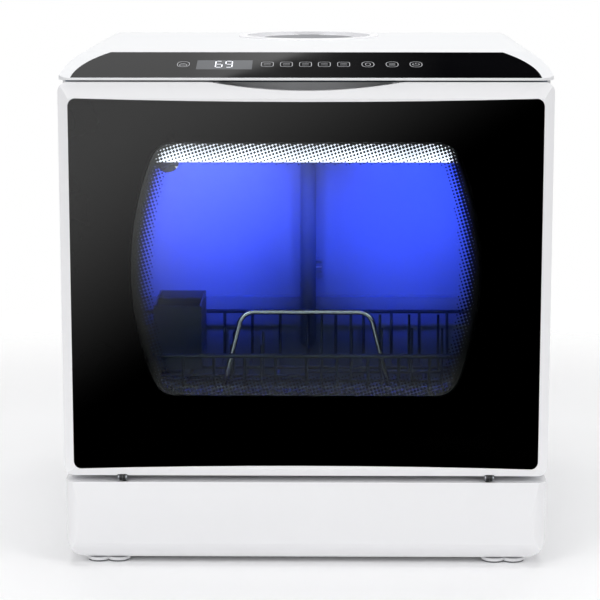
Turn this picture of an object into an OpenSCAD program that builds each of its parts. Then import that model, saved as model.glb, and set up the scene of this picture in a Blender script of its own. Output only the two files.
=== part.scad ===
// Countertop dishwasher with a drop-down glass door, a dish rack that slides out,
// two spray arms and a water tank that is filled from the top.
// X points to the viewer's right, Y to the back and Z up. Z = 0 is the table.

/* [Casing] */
// Width across the side panels
body_w = 430; // [424:2:450]
// Depth from the door glass to the rear panel
body_d = 420; // [412:2:450]
// Height from the table to the top cover
body_h = 455; // [450:1:470]
// Wall of the plastic casing
wall = 2.4; // [2:0.2:3]
// Height of the tray's underside above the table
foot_h = 4; // [3:0.5:8]
// Height of the seam between the base tray and the side panels
base_h = 78; // [76:1:82]
// Radius along the top side edges
top_edge_r = 21; // [14:1:24]
// Radius along the bottom side edges
base_edge_r = 25; // [16:1:28]
// Radius of the upright front edges
front_edge_r = 14; // [8:1:18]
// Radius of the upright rear edges
rear_edge_r = 18; // [8:1:22]
// Radius along the lower front edge of the apron
apron_edge_r = 24; // [12:1:28]
// Radius along the rear edge of the top cover
rear_top_r = 20; // [8:1:24]
// Radius of the apron's bowed front
apron_bow_r = 300; // [260:20:500]
// How far the apron and console stand back from the glass
apron_set = 1.5; // [1:0.5:3]

/* [Door] */
// Thickness of the door
door_t = 42; // [40:1:46]
// Gap between the base tray and the door
door_gap = 6; // [6:0.5:8]
// Width of the white side stiles
stile_w = 9; // [8:1:14]
// Height of the white top rail at its ends
top_rail = 14; // [12:1:18]
// Height of the white bottom rail at its ends
bottom_rail = 7; // [7:1:12]
// Depth of the bevel round the door front
bevel = 4; // [2:0.5:5]
// Radius of the door's outer corners
door_corner_r = 9; // [4:1:12]
// Radius of the glass corners
glass_corner_r = 7; // [4:1:10]
// How far the glass edges bow in at mid width
glass_bow = 3; // [1:0.5:4]
// Thickness of the door glass
glass_t = 3.2; // [3:0.2:4]
// Thickness of the black print behind the glass
print_t = 0.3; // [0.2:0.1:0.6]
// Width of the finger scoop in the top rail
scoop_w = 170; // [120:5:200]
// Drop of the finger scoop at mid width
scoop_drop = 7.6; // [5:0.2:9]
// Depth of the pocket behind the finger scoop
scoop_pocket = 22; // [18:1:24]

/* [Window] */
// Margin of black glass at each side of the window
window_side = 51.5; // [44:0.5:70]
// Margin of black glass above the window
window_drop = 38; // [34:1:60]
// Margin of black glass below the window
window_rise = 65; // [60:1:80]
// Radius of the window's bowed sides
window_arc_r = 268; // [230:2:400]
// Radius of the window's corners
window_corner_r = 22; // [12:1:30]
// Width of the silver line round the window
trim_w = 1.4; // [0.8:0.2:3]
// Height of the light bar behind the top of the window
light_h = 18; // [12:1:22]

/* [Hinge] */
// Distance of each hinge bracket from the casing's side
hinge_in = 53; // [40:1:75]
// Height of the hinge axis below the door's lower edge
hinge_drop = 2; // [2:0.5:3]
// Distance of the hinge axis behind the glass
hinge_set = 5; // [5:0.5:6]
// Radius of the hinge pin
hinge_pin_r = 1.6; // [1.4:0.1:1.8]
// Radius of the round hinge lugs
lug_r = 3; // [2.8:0.1:3.2]
// Thickness of each hinge plate
hinge_plate_t = 2.5; // [2:0.5:3]

/* [Wash chamber] */
// Room between the chamber's sides and the casing's sides
tub_side = 27; // [25:1:35]
// Height of the chamber floor
tub_z = 100; // [99:1:104]
// Room between the chamber's ceiling and the top cover
tub_roof = 31.5; // [31:0.5:38]
// Depth of the works behind the chamber
works_d = 98; // [96:1:104]
// Thickness of the chamber wall
tub_t = 1.5; // [1:0.25:2.5]
// Radius of the chamber's long corners
tub_r = 24; // [14:1:30]
// Depth of the step across the back wall
tub_step = 12; // [6:1:16]
// Height of the back wall's step above the floor
tub_step_h = 92; // [70:1:110]
// Thickness of the door seal
seal_t = 3; // [2.5:0.5:4]

/* [Dish rack] */
// Room between the rack's rim and the chamber's sides
rack_side = 18; // [17:1:28]
// Room between the rack's rim and the chamber's back wall
rack_rear = 34; // [33:1:50]
// Height of the rack's floor wires above the chamber floor
rack_lift = 47; // [46:1:52]
// Height of the rim above the floor wires
rack_h = 35; // [28:1:50]
// How far each side of the rack leans in towards its floor
rack_lean = 10; // [6:1:14]
// Radius of the rim wire
rim_r = 1.9; // [1.6:0.1:2.4]
// Radius of the thin wires
wire_r = 1.5; // [1.2:0.1:1.8]
// Spacing of the floor wires
wire_pitch = 28; // [22:1:34]
// Height of the plate tines
tine_h = 58; // [40:1:70]
// Width of the flat top of the rack handle
handle_w = 96; // [70:2:120]
// Width of the rack handle at its feet
handle_foot_w = 151; // [130:1:170]
// Height of the rack handle above the rim wire
handle_h = 40; // [25:1:60]
// Radius of the rack handle wire
handle_r = 2.3; // [1.8:0.1:3]

/* [Rollers] */
// Radius of the rollers that carry the rack
roller_r = 8; // [6:0.5:9]
// Width of each roller
roller_w = 7; // [5:0.5:7]
// Radius of the roller studs
stud_r = 2.5; // [2:0.1:3]
// Running clearance of wheels and arms on their studs
run_gap = 0.06; // [0.04:0.01:0.1]

/* [Spray arms] */
// Gap between a turning spray arm's tip and what it passes
arm_gap = 4; // [3:0.5:8]
// Width of the spray arms at the hub
arm_w = 30; // [24:1:40]
// Thickness of the spray arms
arm_t = 7; // [6:0.5:9]
// Radius of the spray arm spigots
spigot_r = 8; // [6:0.5:9]
// Nozzles on each half of an arm
nozzle_count = 5; // [3:1:6]

/* [Filler] */
// Radius of the filler ring
filler_r = 70; // [60:1:72]
// Radius of the filler lid
lid_r = 45; // [36:1:48]
// Distance of the filler from the rear panel
filler_back = 90; // [84:1:96]
// Height of the filler rim above the top cover
filler_rise = 1.5; // [1:0.5:3]
// Depth of the filler bowl
filler_deep = 14; // [12:1:15]

/* [Console] */
// Depth of the sloping console
console_run = 88; // [80:1:100]
// Height of the lip below the console glass
console_lip = 1.8; // [1.6:0.2:2.4]
// Height of the console's front, from its underside to the top cover
console_h = 19.5; // [18:0.5:22]
// Thickness of the console glass
console_glass_t = 1.6; // [1.2:0.1:2]
// Margin of white casing beside the console glass
console_side = 11.5; // [9:0.5:20]
// Radius of the console glass's curved sides
console_arc_r = 150; // [120:5:200]
// Width of the display window
display_w = 49; // [40:1:60]
// Length of the display window up the slope
display_l = 30; // [20:1:34]
// Distance of the display window's middle from the centre
display_x = -72; // [-90:1:-60]

/* [Water tank] */
// Gap between the tank and the fan beside it
tank_gap = 5.6; // [4:0.2:12]
// Depth of the water tank
tank_d = 80; // [70:1:84]
// Height of the water tank
tank_h = 248; // [200:2:252]
// Wall of the water tank
tank_t = 2.2; // [1.8:0.2:3]

/* [Drying fan] */
// Width of the square fan housing
fan_w = 60; // [50:1:66]
// Thickness of the fan housing
fan_t = 25; // [20:1:28]
// Blades on the fan rotor
fan_blades = 7; // [5:1:9]

/* [Fits] */
// Gap where two pieces meet without touching
seam = 0.3; // [0.2:0.05:0.5]

/* [Hidden] */
$fn = 48;
big_fn = 1440;
// How far a weld stands proud of its wires
weld = 0.08;
// Length of a weld at each end of a wire's bend
weld_len = 1;

front_y = -body_d/2;
rear_y = body_d/2;
side_x = body_w/2;
apron_y = front_y + apron_set;
apron_mid_z = 45;
skin_x = side_x - wall;

door_z = base_h + door_gap;
console_z = body_h - console_h;
door_top = console_z - 1.5;
door_back = front_y + door_t;
door_fall = 3;
liner_t = 1.2;
skirt_back = door_back - liner_t;
glass_back = front_y + glass_t;
print_back = glass_back + print_t;
flange_t = 3;
flange_back = print_back + flange_t;
glass_x = side_x - stile_w;
glass_z0 = door_z + bottom_rail;
glass_z1 = door_top - top_rail;
window_w = 2*(glass_x - window_side);
window_h = glass_z1 - glass_z0 - window_drop - window_rise;
window_z = glass_z0 + window_rise + window_h/2;
boss_in = 6;
pane_t = 3;
pane_lap = 8;
reveal_t = 2.4;

hinge_x = side_x - hinge_in;
axis_y = front_y + hinge_set;
axis_z = door_z - hinge_drop;

mouth_y = door_back + seal_t;
tub_x = side_x - tub_side;
tub_top = console_z - tub_roof;
tub_back = rear_y - works_d;
tub_rear = tub_back + tub_t;
hub_y = (mouth_y + tub_back)/2;
deck_t = wall;

rack_x = tub_x - rack_side;
rack_w = 2*rack_x;
rack_front = mouth_y + 15;
rack_back = tub_back - rack_rear;
rack_d = rack_back - rack_front;
floor_wire_z = tub_z + rack_lift - 8.5;
rim_z = floor_wire_z + rack_h + 8;
runner_z = tub_z + rack_lift - 5.7;
runner_t = 2;
roller_z = runner_z - seam - roller_r;
roller_x = tub_x - 7 - roller_w;
roller_front_y = mouth_y + 22;
roller_rear_y = roller_front_y + 84;

filler_y = rear_y - filler_back;
slope_a = atan((console_h - console_lip)/console_run);
slope_z = console_z + console_lip;
console_x = side_x - console_side;

tank_y = tub_rear + 4.5;
tank_z = tub_top - tank_h - 4;
tank_side = 28;
neck_x = 0;
neck_y = rear_y - filler_back + 32;
neck_r = 14;

fan_x = -side_x + rear_edge_r + 14 + fan_w/2 + 2;
fan_z = tub_top - 74;
fan_y = tub_rear + 1.5;
tank_x0 = fan_x + fan_w/2 + tank_gap;
tank_w = side_x - wall - tank_side - tank_x0;

niche_d = 24;
niche_floor_y = rear_y - niche_d;
inlet_x = side_x - 87;
drain_x = inlet_x - 50;
gland_x = -inlet_x;
port_z = 44;
inlet_r = 13.2;
drain_r = 9;

foot_x = side_x - 36.5;
foot_y_front = apron_y + 26;
foot_y_rear = rear_y - 30;
foot_lobe_r = 11;
foot_lobe_gap = 17;
pad_t = 1.5;

latch_y = mouth_y + tub_t + seam;
striker_z = tub_top + 16;
striker_t = 3;

floor_top = foot_h + wall;

niche_side = 22;
port_neck_r = 9;
gland_r = 6;
rear_half = side_x - rear_edge_r - 6;
slot_gap = 0.8;
stem_w = 8;
ear_x = hinge_x + hinge_plate_t + seam;
knuckle_x = (hinge_x + ear_x)/2;
hinge_room = hinge_plate_t + seam/2 + seam + 1.5;
bracket_z = floor_top + 12;
// The bracket's feet stand on the flat of the floor, behind the apron's curved edge
bracket_foot_r = 3.5;
bracket_foot_y = apron_y + apron_edge_r + bracket_foot_r + 1;
bracket_back = bracket_foot_y + bracket_foot_r + 3.5;

glass_lip = 1.5;
console_land = 20;
shelf_y = apron_y + console_run - 4;
board_w = 240;
board_d = 32;
board_y = apron_y + 48;
board_z = console_z + wall + 3;
board_t = 1.6;
display_deep = 3.4;

bowl_r = filler_r - 6;
bowl_z = body_h - filler_deep;
lid_t = 4;
lid_z = body_h - 1;
lid_pin_r = 0.9;
lid_axis_y = lid_r + 7;
lid_axis_z = lid_z - lid_t/2;
knuckle_w = 22;
funnel_z = tub_top + tub_t + 8;
spout_z = tank_z + tank_h + 8;
neck_h = 6;

pocket_w = scoop_w - 10;
pocket_y0 = flange_back + seam;
pocket_y1 = pocket_y0 + 25;
pocket_z = door_top - scoop_pocket;
boss_gap = 7;
boss_back = mouth_y - liner_t;
reveal_back = boss_back - pane_t - seam;
cup_w = 90;
cup_h = 32;
cup_x = side_x - 115;
cup_z = 127;
cup_lip = 3;
cup_front_y = door_back - 20;

sump_x = 72;
sump_y = hub_y + 62;
sump_r = 30;
sump_z = 66;
basket_r = 18;
basket_z = sump_z + 4;
hose_r = 9;
post_r = 13;
feed_r = 8;
feed_z = tub_z + 50;
riser_y = tub_back - tub_step - feed_r - 1;
ceiling_z = tub_top - feed_r - 1;
lower_arm_z = tub_z + 15;
upper_arm_z = ceiling_z - feed_r - 8;
lower_arm_l = 2*(tub_back - tub_step - hub_y - arm_gap);
upper_arm_l = 2*(riser_y - feed_r - hub_y - arm_gap);
arm_blunt = 14;
arm_turn = 35;
breather_x = 10;
breather_z = tub_z + 122;
lamp_x = tub_x/2;
lamp_l = 70;
lamp_t = 5;
lamp_inset = 28;

runner_x = roller_x + roller_w;
wire_side = floor((rack_x - rack_lean - 6)/wire_pitch);
cross_step = 2*wire_r - 0.2;
tine_r = wire_r - 0.2;
cross_y = [for (i = [0 : 3]) rack_front + 24 + i*(rack_d - 48)/3];
tine_y = [cross_y[0] + 30, cross_y[2] - 20];
bowl_y = [cross_y[0] + 14, cross_y[1] + 20];
handle_base_z = floor_wire_z + 12;
basket_w = 46;
basket_d = 90;
basket_h = 62;
basket_y = rack_back - 104;
basket_floor_z = floor_wire_z + 3*wire_r + 0.3;

pump_r = 27;
pump_l = 74;
volute_r = 31;
heater_r = 17;
pump_x = -60;
pump_y = hub_y + 100;
pump_z = floor_top + volute_r + 2;
heater_z = 56;
heater_reach = 24;
heater_l = 110;
drain_pump_x = drain_x;
drain_pump_y = rear_y - 82;
board_box_x = -side_x + 25;
board_box_w = 90;
board_box_d = 100;
board_box_y = hub_y - heater_r - 6.5 - board_box_d;
board_box_h = 48;
grille_r = fan_w/2 + 2;
grille_t = 2;
lever_y = latch_y + 24;
lever_z = striker_z - 4;

// ---- Shared shapes ----

module box(x0, x1, y0, y1, z0, z1)
  translate([x0, y0, z0]) cube([x1 - x0, y1 - y0, z1 - z0]);

// A YZ profile from x0 to x1
module along_x(x0, x1)
  translate([x0, 0, 0]) rotate([90, 0, 90]) linear_extrude(x1 - x0) children();

// An XZ profile from y0 to y1
module along_y(y0, y1)
  translate([0, y1, 0]) rotate([90, 0, 0]) linear_extrude(y1 - y0) children();

// An XY profile from z0 to z1
module along_z(z0, z1)
  translate([0, 0, z0]) linear_extrude(z1 - z0) children();

// The waste outside a round corner at [x, y]; sx and sy point outwards
module corner_waste(x, y, r, sx, sy)
  if (r > 0)
    translate([x - sx*r, y - sy*r]) difference() {
      translate([sx > 0 ? 0 : -r - 1, sy > 0 ? 0 : -r - 1]) square(r + 1);
      circle(r);
    }

// A rectangle with one radius at its lower and one at its upper corners
module round_rect(x0, x1, y0, y1, r_low, r_high) difference() {
  translate([x0, y0]) square([x1 - x0, y1 - y0]);
  for (s = [-1, 1]) {
    corner_waste(s < 0 ? x0 : x1, y0, r_low, s, -1);
    corner_waste(s < 0 ? x0 : x1, y1, r_high, s, 1);
  }
}

module ring(r_out, r_in) difference() {
  circle(r_out);
  circle(r_in);
}

// The window's barrel outline, grown by d: flat top and bottom, bowed sides
// of radius window_arc_r and corners of radius window_corner_r
module barrel(d = 0) {
  half_h = window_h/2 + d;
  arc_r = window_arc_r + d;
  r = window_corner_r + d;
  arc_x = window_w/2 + d - arc_r;
  corner_y = half_h - r;
  corner_x = arc_x + sqrt(pow(arc_r - r, 2) - pow(corner_y, 2));
  side_a = atan2(corner_y, corner_x - arc_x);
  reach = 2*r + 30;
  difference() {
    intersection() {
      square([window_w*2, 2*half_h], center = true);
      translate([arc_x, 0]) circle(arc_r, $fn = big_fn);
      translate([-arc_x, 0]) circle(arc_r, $fn = big_fn);
    }
    for (sx = [-1, 1], sy = [-1, 1]) difference() {
      polygon([[sx*corner_x, sy*corner_y], [sx*corner_x, sy*(half_h + 1)],
               [sx*(corner_x + reach*cos(side_a)), sy*(half_h + 1)],
               [sx*(corner_x + reach*cos(side_a)), sy*(corner_y + reach*sin(side_a))]]);
      translate([sx*corner_x, sy*corner_y]) circle(r);
    }
  }
}

// A plate of the window's outline, standing across the door
module barrel_plate(y0, y1, d = 0)
  translate([0, 0, window_z]) along_y(y0, y1) barrel(d);

module tube(r_out, r_in, h) difference() {
  cylinder(h = h, r = r_out);
  translate([0, 0, -1]) cylinder(h = h + 2, r = r_in);
}

// A straight wire between two points
module wire(a, b, r) {
  v = b - a;
  translate(a) rotate([0, acos(v.z/norm(v)), atan2(v.y, v.x)])
    cylinder(h = norm(v), r = r, $fn = 16);
}

// A wire through the points of a flat path, with bends of one radius. A short
// collar at each end of a bend welds it to the straight beside it.
module flat_wire(p, bend, r) {
  last = len(p) - 1;
  way = [for (i = [0 : last - 1]) (p[i + 1] - p[i])/norm(p[i + 1] - p[i])];
  turn = [for (i = [0 : last]) i == 0 || i == last ? 0
          : atan2(way[i - 1].x*way[i].y - way[i - 1].y*way[i].x, way[i - 1]*way[i])];
  cut = [for (a = turn) bend*tan(abs(a)/2)];
  for (i = [0 : last - 1]) {
    a = p[i] + way[i]*cut[i];
    b = p[i + 1] - way[i]*cut[i + 1];
    collar = weld_len/2*[way[i].x, way[i].y, 0];
    wire([a.x, a.y, 0], [b.x, b.y, 0], r);
    if (i > 0) wire([a.x, a.y, 0] - collar, [a.x, a.y, 0] + collar, r + weld);
    if (i < last - 1) wire([b.x, b.y, 0] - collar, [b.x, b.y, 0] + collar, r + weld);
  }
  for (i = [1 : last - 1]) {
    s = turn[i] > 0 ? 1 : -1;
    start = atan2(way[i - 1].y, way[i - 1].x) - 90;
    c = p[i] - way[i - 1]*cut[i] + s*bend*[-way[i - 1].y, way[i - 1].x];
    translate([c.x, c.y, 0]) rotate(s > 0 ? start : start + 180 + turn[i])
      rotate_extrude(angle = abs(turn[i]), $fn = 48)
        translate([bend, 0]) circle(r, $fn = 16);
  }
}

// A closed rectangular wire with round corners, lying flat
module wire_loop(w, d, bend, r) {
  for (s = [-1, 1]) {
    wire([-w/2 + bend, s*d/2, 0], [w/2 - bend, s*d/2, 0], r);
    wire([s*w/2, -d/2 + bend, 0], [s*w/2, d/2 - bend, 0], r);
  }
  for (q = [0 : 3])
    translate([(q == 0 || q == 3 ? 1 : -1)*(w/2 - bend),
               (q < 2 ? 1 : -1)*(d/2 - bend), 0])
      rotate(q*90) rotate_extrude(angle = 90, $fn = 48)
        translate([bend, 0]) circle(r, $fn = 16);
}

// ---- Casing ----

module front_outline(inset)
  round_rect(-side_x + inset, side_x - inset, foot_h + inset, body_h - inset,
             base_edge_r - inset, top_edge_r - inset);

module plan_outline(inset)
  round_rect(-side_x + inset, side_x - inset, apron_y + inset, rear_y - inset,
             front_edge_r - inset, rear_edge_r - inset);

module apron_outline(inset) intersection() {
  difference() {
    translate([apron_y + inset, foot_h + inset])
      square([body_d - apron_set - 2*inset, body_h]);
    corner_waste(apron_y + inset, foot_h + inset, apron_edge_r - inset, -1, -1);
  }
  translate([apron_y + apron_bow_r, apron_mid_z])
    circle(apron_bow_r - inset, $fn = big_fn);
}

module console_outline(inset) {
  lip = slope_z + inset*tan(slope_a) - inset/cos(slope_a);
  rise = body_h - inset - lip;
  difference() {
    polygon([[apron_y + inset, 0], [apron_y + inset, lip],
             [apron_y + inset + rise/tan(slope_a), body_h - inset],
             [rear_y - inset, body_h - inset], [rear_y - inset, 0]]);
    corner_waste(rear_y - inset, body_h - inset, rear_top_r - inset, 1, 1);
  }
}

// The base's outer form up to top, shrunk by inset
module base_form(inset = 0, top = base_h) intersection() {
  along_y(front_y, rear_y) front_outline(inset);
  along_z(foot_h + inset, top) plan_outline(inset);
  along_x(-side_x, side_x) apron_outline(inset);
}

// The casing's outer form above the base, between z0 and z1, shrunk by inset
module upper_form(inset, z0, z1) intersection() {
  along_y(front_y, rear_y) front_outline(inset);
  along_z(z0, z1) plan_outline(inset);
  along_x(-side_x, side_x) console_outline(inset);
}

// Draws its children on the console's slope: X across, Y up the slope
module on_slope()
  translate([0, apron_y, slope_z]) rotate([slope_a, 0, 0]) children();

// Draws its children at the four feet
module at_feet()
  for (sx = [-1, 1], y = [foot_y_front, foot_y_rear])
    translate([sx*foot_x, y, 0]) children();

module foot_lobes(r)
  for (s = [-1, 1]) translate([s*foot_lobe_gap/2, 0]) circle(r);

// The recess in the base's back round the ports from x0 to x1, grown by t
module port_niche(x0, x1, t)
  box(x0 - niche_side - t, x1 + niche_side + t, niche_floor_y - t,
      rear_y + (t > 0 ? -wall/2 : 1), port_z - niche_side - t, port_z + niche_side + t);

module port_hole(x, r)
  translate([x, niche_floor_y - wall - 1, port_z]) rotate([-90, 0, 0])
    cylinder(h = wall + 2, r = r);

// The slot in the deck that a hinge bracket comes up through; s is its side
module hinge_slot(s)
  box(s*hinge_x - hinge_plate_t/2 - slot_gap, s*hinge_x + hinge_plate_t/2 + slot_gap,
      axis_y + 1, axis_y + stem_w + 3, base_h - deck_t - 1, base_h + 1);

module base_tray() color("whitesmoke") {
  difference() {
    union() {
      base_form();
      difference() {
        at_feet() along_z(pad_t, foot_h + 6) foot_lobes(foot_lobe_r);
        difference() {
          box(-body_w, body_w, -body_d, body_d, foot_h, foot_h + 7);
          base_form();
        }
      }
    }
    intersection() {
      base_form(wall, base_h + 1);
      union() {
        box(-side_x, side_x, front_y, rear_y, 0, base_h - deck_t);
        box(-side_x, side_x, mouth_y, rear_y, 0, base_h + 1);
      }
    }
    for (s = [-1, 1]) hinge_slot(s);
    port_niche(drain_x, inlet_x, 0);
    port_niche(gland_x, gland_x, 0);
  }
  difference() {
    union() {
      port_niche(drain_x, inlet_x, wall);
      port_niche(gland_x, gland_x, wall);
    }
    port_niche(drain_x, inlet_x, 0);
    port_niche(gland_x, gland_x, 0);
    port_hole(inlet_x, port_neck_r + run_gap);
    port_hole(drain_x, port_neck_r + run_gap);
    port_hole(gland_x, gland_r + run_gap);
  }
}

module feet() color("dimgray")
  at_feet() along_z(0, pad_t) foot_lobes(foot_lobe_r - 0.6);

// The skin of the sides and back between the base and the top cover
module casing_skin() difference() {
  upper_form(0, base_h, console_z - seam);
  upper_form(wall, base_h - 1, console_z + 1);
  box(-side_x - 1, side_x + 1, front_y - 1, mouth_y, 0, body_h);
}

module side_panel(s) intersection() {
  casing_skin();
  box(s > 0 ? rear_half + seam : -side_x, s > 0 ? side_x : -rear_half - seam,
      front_y, rear_y, base_h, body_h);
}

module left_side_panel() color("white") side_panel(-1);

module right_side_panel() color("white") side_panel(1);

module rear_panel() color("whitesmoke") {
  difference() {
    intersection() {
      casing_skin();
      box(-rear_half, rear_half, rear_y - wall - 1, rear_y, base_h, body_h);
    }
    translate([fan_x, rear_y - wall - 1, fan_z]) rotate([-90, 0, 0])
      cylinder(h = wall + 2, r = grille_r);
  }
  tank_shelf();
}

// The shelf on two gussets that the water tank stands on
module tank_shelf() {
  shelf_z = tank_z - seam;
  box(tank_x0 + 8, tank_x0 + tank_w - 8, tank_y + 8, rear_y - wall/2, shelf_z - wall,
      shelf_z);
  for (x = [tank_x0 + 30, tank_x0 + tank_w - 30])
    along_x(x - wall/2, x + wall/2)
      polygon([[rear_y - wall/2, shelf_z - wall/2], [tank_y + 12, shelf_z - wall/2],
               [rear_y - wall/2, shelf_z - 46]]);
}

module top_cover() color("white") difference() {
  upper_form(0, console_z, body_h);
  difference() {
    upper_form(wall, console_z - 1, body_h);
    box(-side_x, side_x, front_y, shelf_y, console_z - 1, console_z + wall);
  }
  translate([0, filler_y, console_z]) cylinder(h = 2*console_h, r = bowl_r + seam);
  on_slope() along_z(-console_glass_t - seam/2, 5) console_glass_outline(seam/2);
  on_slope() box(-console_x + console_land, console_x - console_land,
                 console_land, console_run - console_land, -wall - 2, 1);
}

// The console glass's outline on the slope, grown by d: arcs curve its sides in
module console_glass_outline(d) {
  arc_x = console_x - console_arc_r;
  intersection() {
    translate([-side_x, glass_lip - d])
      square([body_w, console_run - 2*glass_lip + 2*d]);
    union() {
      for (s = [-1, 1]) translate([s*arc_x, 0])
        circle(console_arc_r + d, $fn = big_fn/4);
      translate([-arc_x, -console_arc_r]) square([2*arc_x, 2*console_arc_r]);
    }
  }
}

module display_frame(d)
  translate([display_x, console_run/2])
    square([display_w + 2*d, display_l + 2*d], center = true);

module control_panel() color("black") on_slope() difference() {
  along_z(-console_glass_t, 0) console_glass_outline(0);
  along_z(-console_glass_t - 1, 1) display_frame(run_gap);
}

// The smoked display window with the module of lamps behind it
module display_window() color("slategray") on_slope() {
  along_z(-console_glass_t, 0) display_frame(0);
  along_z(-display_deep, -console_glass_t) display_frame(-2);
}

module control_board() color("darkgreen") {
  difference() {
    box(-board_w/2, board_w/2, board_y, board_y + board_d, board_z, board_z + board_t);
    for (sx = [-1, 1], y = [4, board_d - 4])
      translate([sx*(board_w/2 - 4), board_y + y, board_z - 1])
        cylinder(h = board_t + 2, r = 1.6 + run_gap);
  }
  for (sx = [-1, 1], y = [4, board_d - 4])
    translate([sx*(board_w/2 - 4), board_y + y, console_z + wall])
      tube(3, 1.6, board_z - console_z - wall);
}

// ---- Filler ----

module filler_ring() color("white") translate([0, filler_y, 0]) difference() {
  union() {
    translate([0, 0, body_h]) rotate_extrude() difference() {
      translate([bowl_r - 2, 0]) square([filler_r - bowl_r + 2, filler_rise]);
      corner_waste(filler_r, filler_rise, filler_rise/2, 1, 1);
    }
    translate([0, 0, bowl_z]) tube(bowl_r, bowl_r - 2, body_h - bowl_z);
    translate([0, 0, bowl_z]) tube(bowl_r - 1, lid_r - 4, 2);
    translate([0, 0, bowl_z + 1]) tube(lid_r + seam + 2, lid_r + seam, lid_z - bowl_z - 2);
    for (s = [-1, 1])
      box(s*(knuckle_w/2 + 2 + seam) - 2, s*(knuckle_w/2 + 2 + seam) + 2, lid_r + seam,
          lid_axis_y + 3, bowl_z + 1, lid_z);
  }
  hinge_pocket();
  translate([-knuckle_w, lid_axis_y, lid_axis_z]) rotate([0, 90, 0])
    cylinder(h = 2*knuckle_w, r = lid_pin_r + 0.02);
}

// Room for the lid's knuckle behind the lid, in the ring's own place
module hinge_pocket()
  box(-knuckle_w/2 - seam, knuckle_w/2 + seam, lid_r - 3, lid_axis_y + 4,
      bowl_z + 3, body_h + 5);

module filler_lid() color("gainsboro") translate([0, filler_y, 0]) {
  difference() {
    union() {
      translate([0, 0, lid_z - lid_t]) cylinder(h = lid_t, r = lid_r, $fn = 96);
      box(-knuckle_w/2, knuckle_w/2, lid_r - 6, lid_axis_y, lid_z - lid_t, lid_z);
      translate([-knuckle_w/2, lid_axis_y, lid_axis_z]) rotate([0, 90, 0])
        cylinder(h = knuckle_w, r = lid_t/2);
    }
    translate([-knuckle_w, lid_axis_y, lid_axis_z]) rotate([0, 90, 0])
      cylinder(h = 2*knuckle_w, r = lid_pin_r + run_gap);
    translate([0, -lid_r - 2, lid_z - lid_t - 1]) cylinder(h = lid_t + 2, r = 9);
  }
}

module filler_hinge_pin() color("silver")
  translate([-knuckle_w/2 - 4, filler_y + lid_axis_y, lid_axis_z]) rotate([0, 90, 0])
    cylinder(h = knuckle_w + 8, r = lid_pin_r);

// The funnel under the ring: a floor that falls to a spout over the tank's neck
module filler_funnel() color("lightgray") {
  translate([0, filler_y, funnel_z]) difference() {
    cylinder(h = bowl_z - funnel_z - run_gap, r = lid_r + 2);
    translate([0, 0, wall]) cylinder(h = bowl_z, r = lid_r);
    translate([neck_x, neck_y - filler_y, -1]) cylinder(h = wall + 2, r = neck_r - 5);
  }
  translate([neck_x, neck_y, spout_z]) tube(neck_r - 3, neck_r - 5, funnel_z - spout_z);
}

module water_tank() color("lightsteelblue") difference() {
  union() {
    along_y(tank_y, tank_y + tank_d)
      round_rect(tank_x0, tank_x0 + tank_w, tank_z, tank_z + tank_h, 12, 12);
    translate([neck_x, neck_y, tank_z + tank_h - 1])
      cylinder(h = neck_h + 1, r = neck_r + tank_t);
  }
  along_y(tank_y + tank_t, tank_y + tank_d - tank_t)
    round_rect(tank_x0 + tank_t, tank_x0 + tank_w - tank_t, tank_z + tank_t,
               tank_z + tank_h - tank_t, 12 - tank_t, 12 - tank_t);
  translate([neck_x, neck_y, tank_z + tank_h - tank_t - 1])
    cylinder(h = neck_h + tank_t + 3, r = neck_r);
}

// ---- Door ----

// The outline of the whole door from the front, shrunk by d
module door_outline(d)
  round_rect(-side_x + d, side_x - d, door_z + d, door_top - d,
             door_corner_r - d, door_corner_r - d);

// The door's block with its bevelled front and its falling top
module door_block() intersection() {
  along_y(front_y, skirt_back) door_outline(0);
  along_z(door_z, door_top)
    polygon([[-side_x, skirt_back], [-side_x, front_y + bevel], [-glass_x, front_y],
             [glass_x, front_y], [side_x, front_y + bevel], [side_x, skirt_back]]);
  along_x(-side_x, side_x)
    polygon([[skirt_back, door_z], [front_y + bevel, door_z], [front_y, glass_z0],
             [front_y, glass_z1], [front_y + bevel, door_top],
             [skirt_back, door_top - door_fall]]);
}

// The glass's outline, grown by d: its top and bottom edges bow in
module glass_outline(d) {
  bow_r = (glass_x*glass_x + glass_bow*glass_bow)/(2*glass_bow);
  difference() {
    round_rect(-glass_x - d, glass_x + d, glass_z0 - d, glass_z1 + d,
               glass_corner_r, glass_corner_r);
    translate([0, glass_z1 - glass_bow + bow_r + d]) circle(bow_r, $fn = 8*big_fn);
    translate([0, glass_z0 + glass_bow - bow_r - d]) circle(bow_r, $fn = 8*big_fn);
  }
}

// The crescent that the scoop cuts out of the top rail
module scoop_outline() {
  r = (scoop_w*scoop_w/4 + scoop_drop*scoop_drop)/(2*scoop_drop);
  translate([0, door_top - scoop_drop + r]) circle(r, $fn = big_fn);
}

// Room for the hinge lugs in the door's lower edge, at side s
module hinge_notch(s) {
  translate([s*knuckle_x - hinge_room, axis_y, axis_z]) rotate([0, 90, 0])
    cylinder(h = 2*hinge_room, r = lug_r + 0.6);
  box(s*knuckle_x - hinge_room, s*knuckle_x + hinge_room, axis_y, axis_y + lug_r + 2,
      axis_z, door_z + wall + 1);
}

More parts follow.
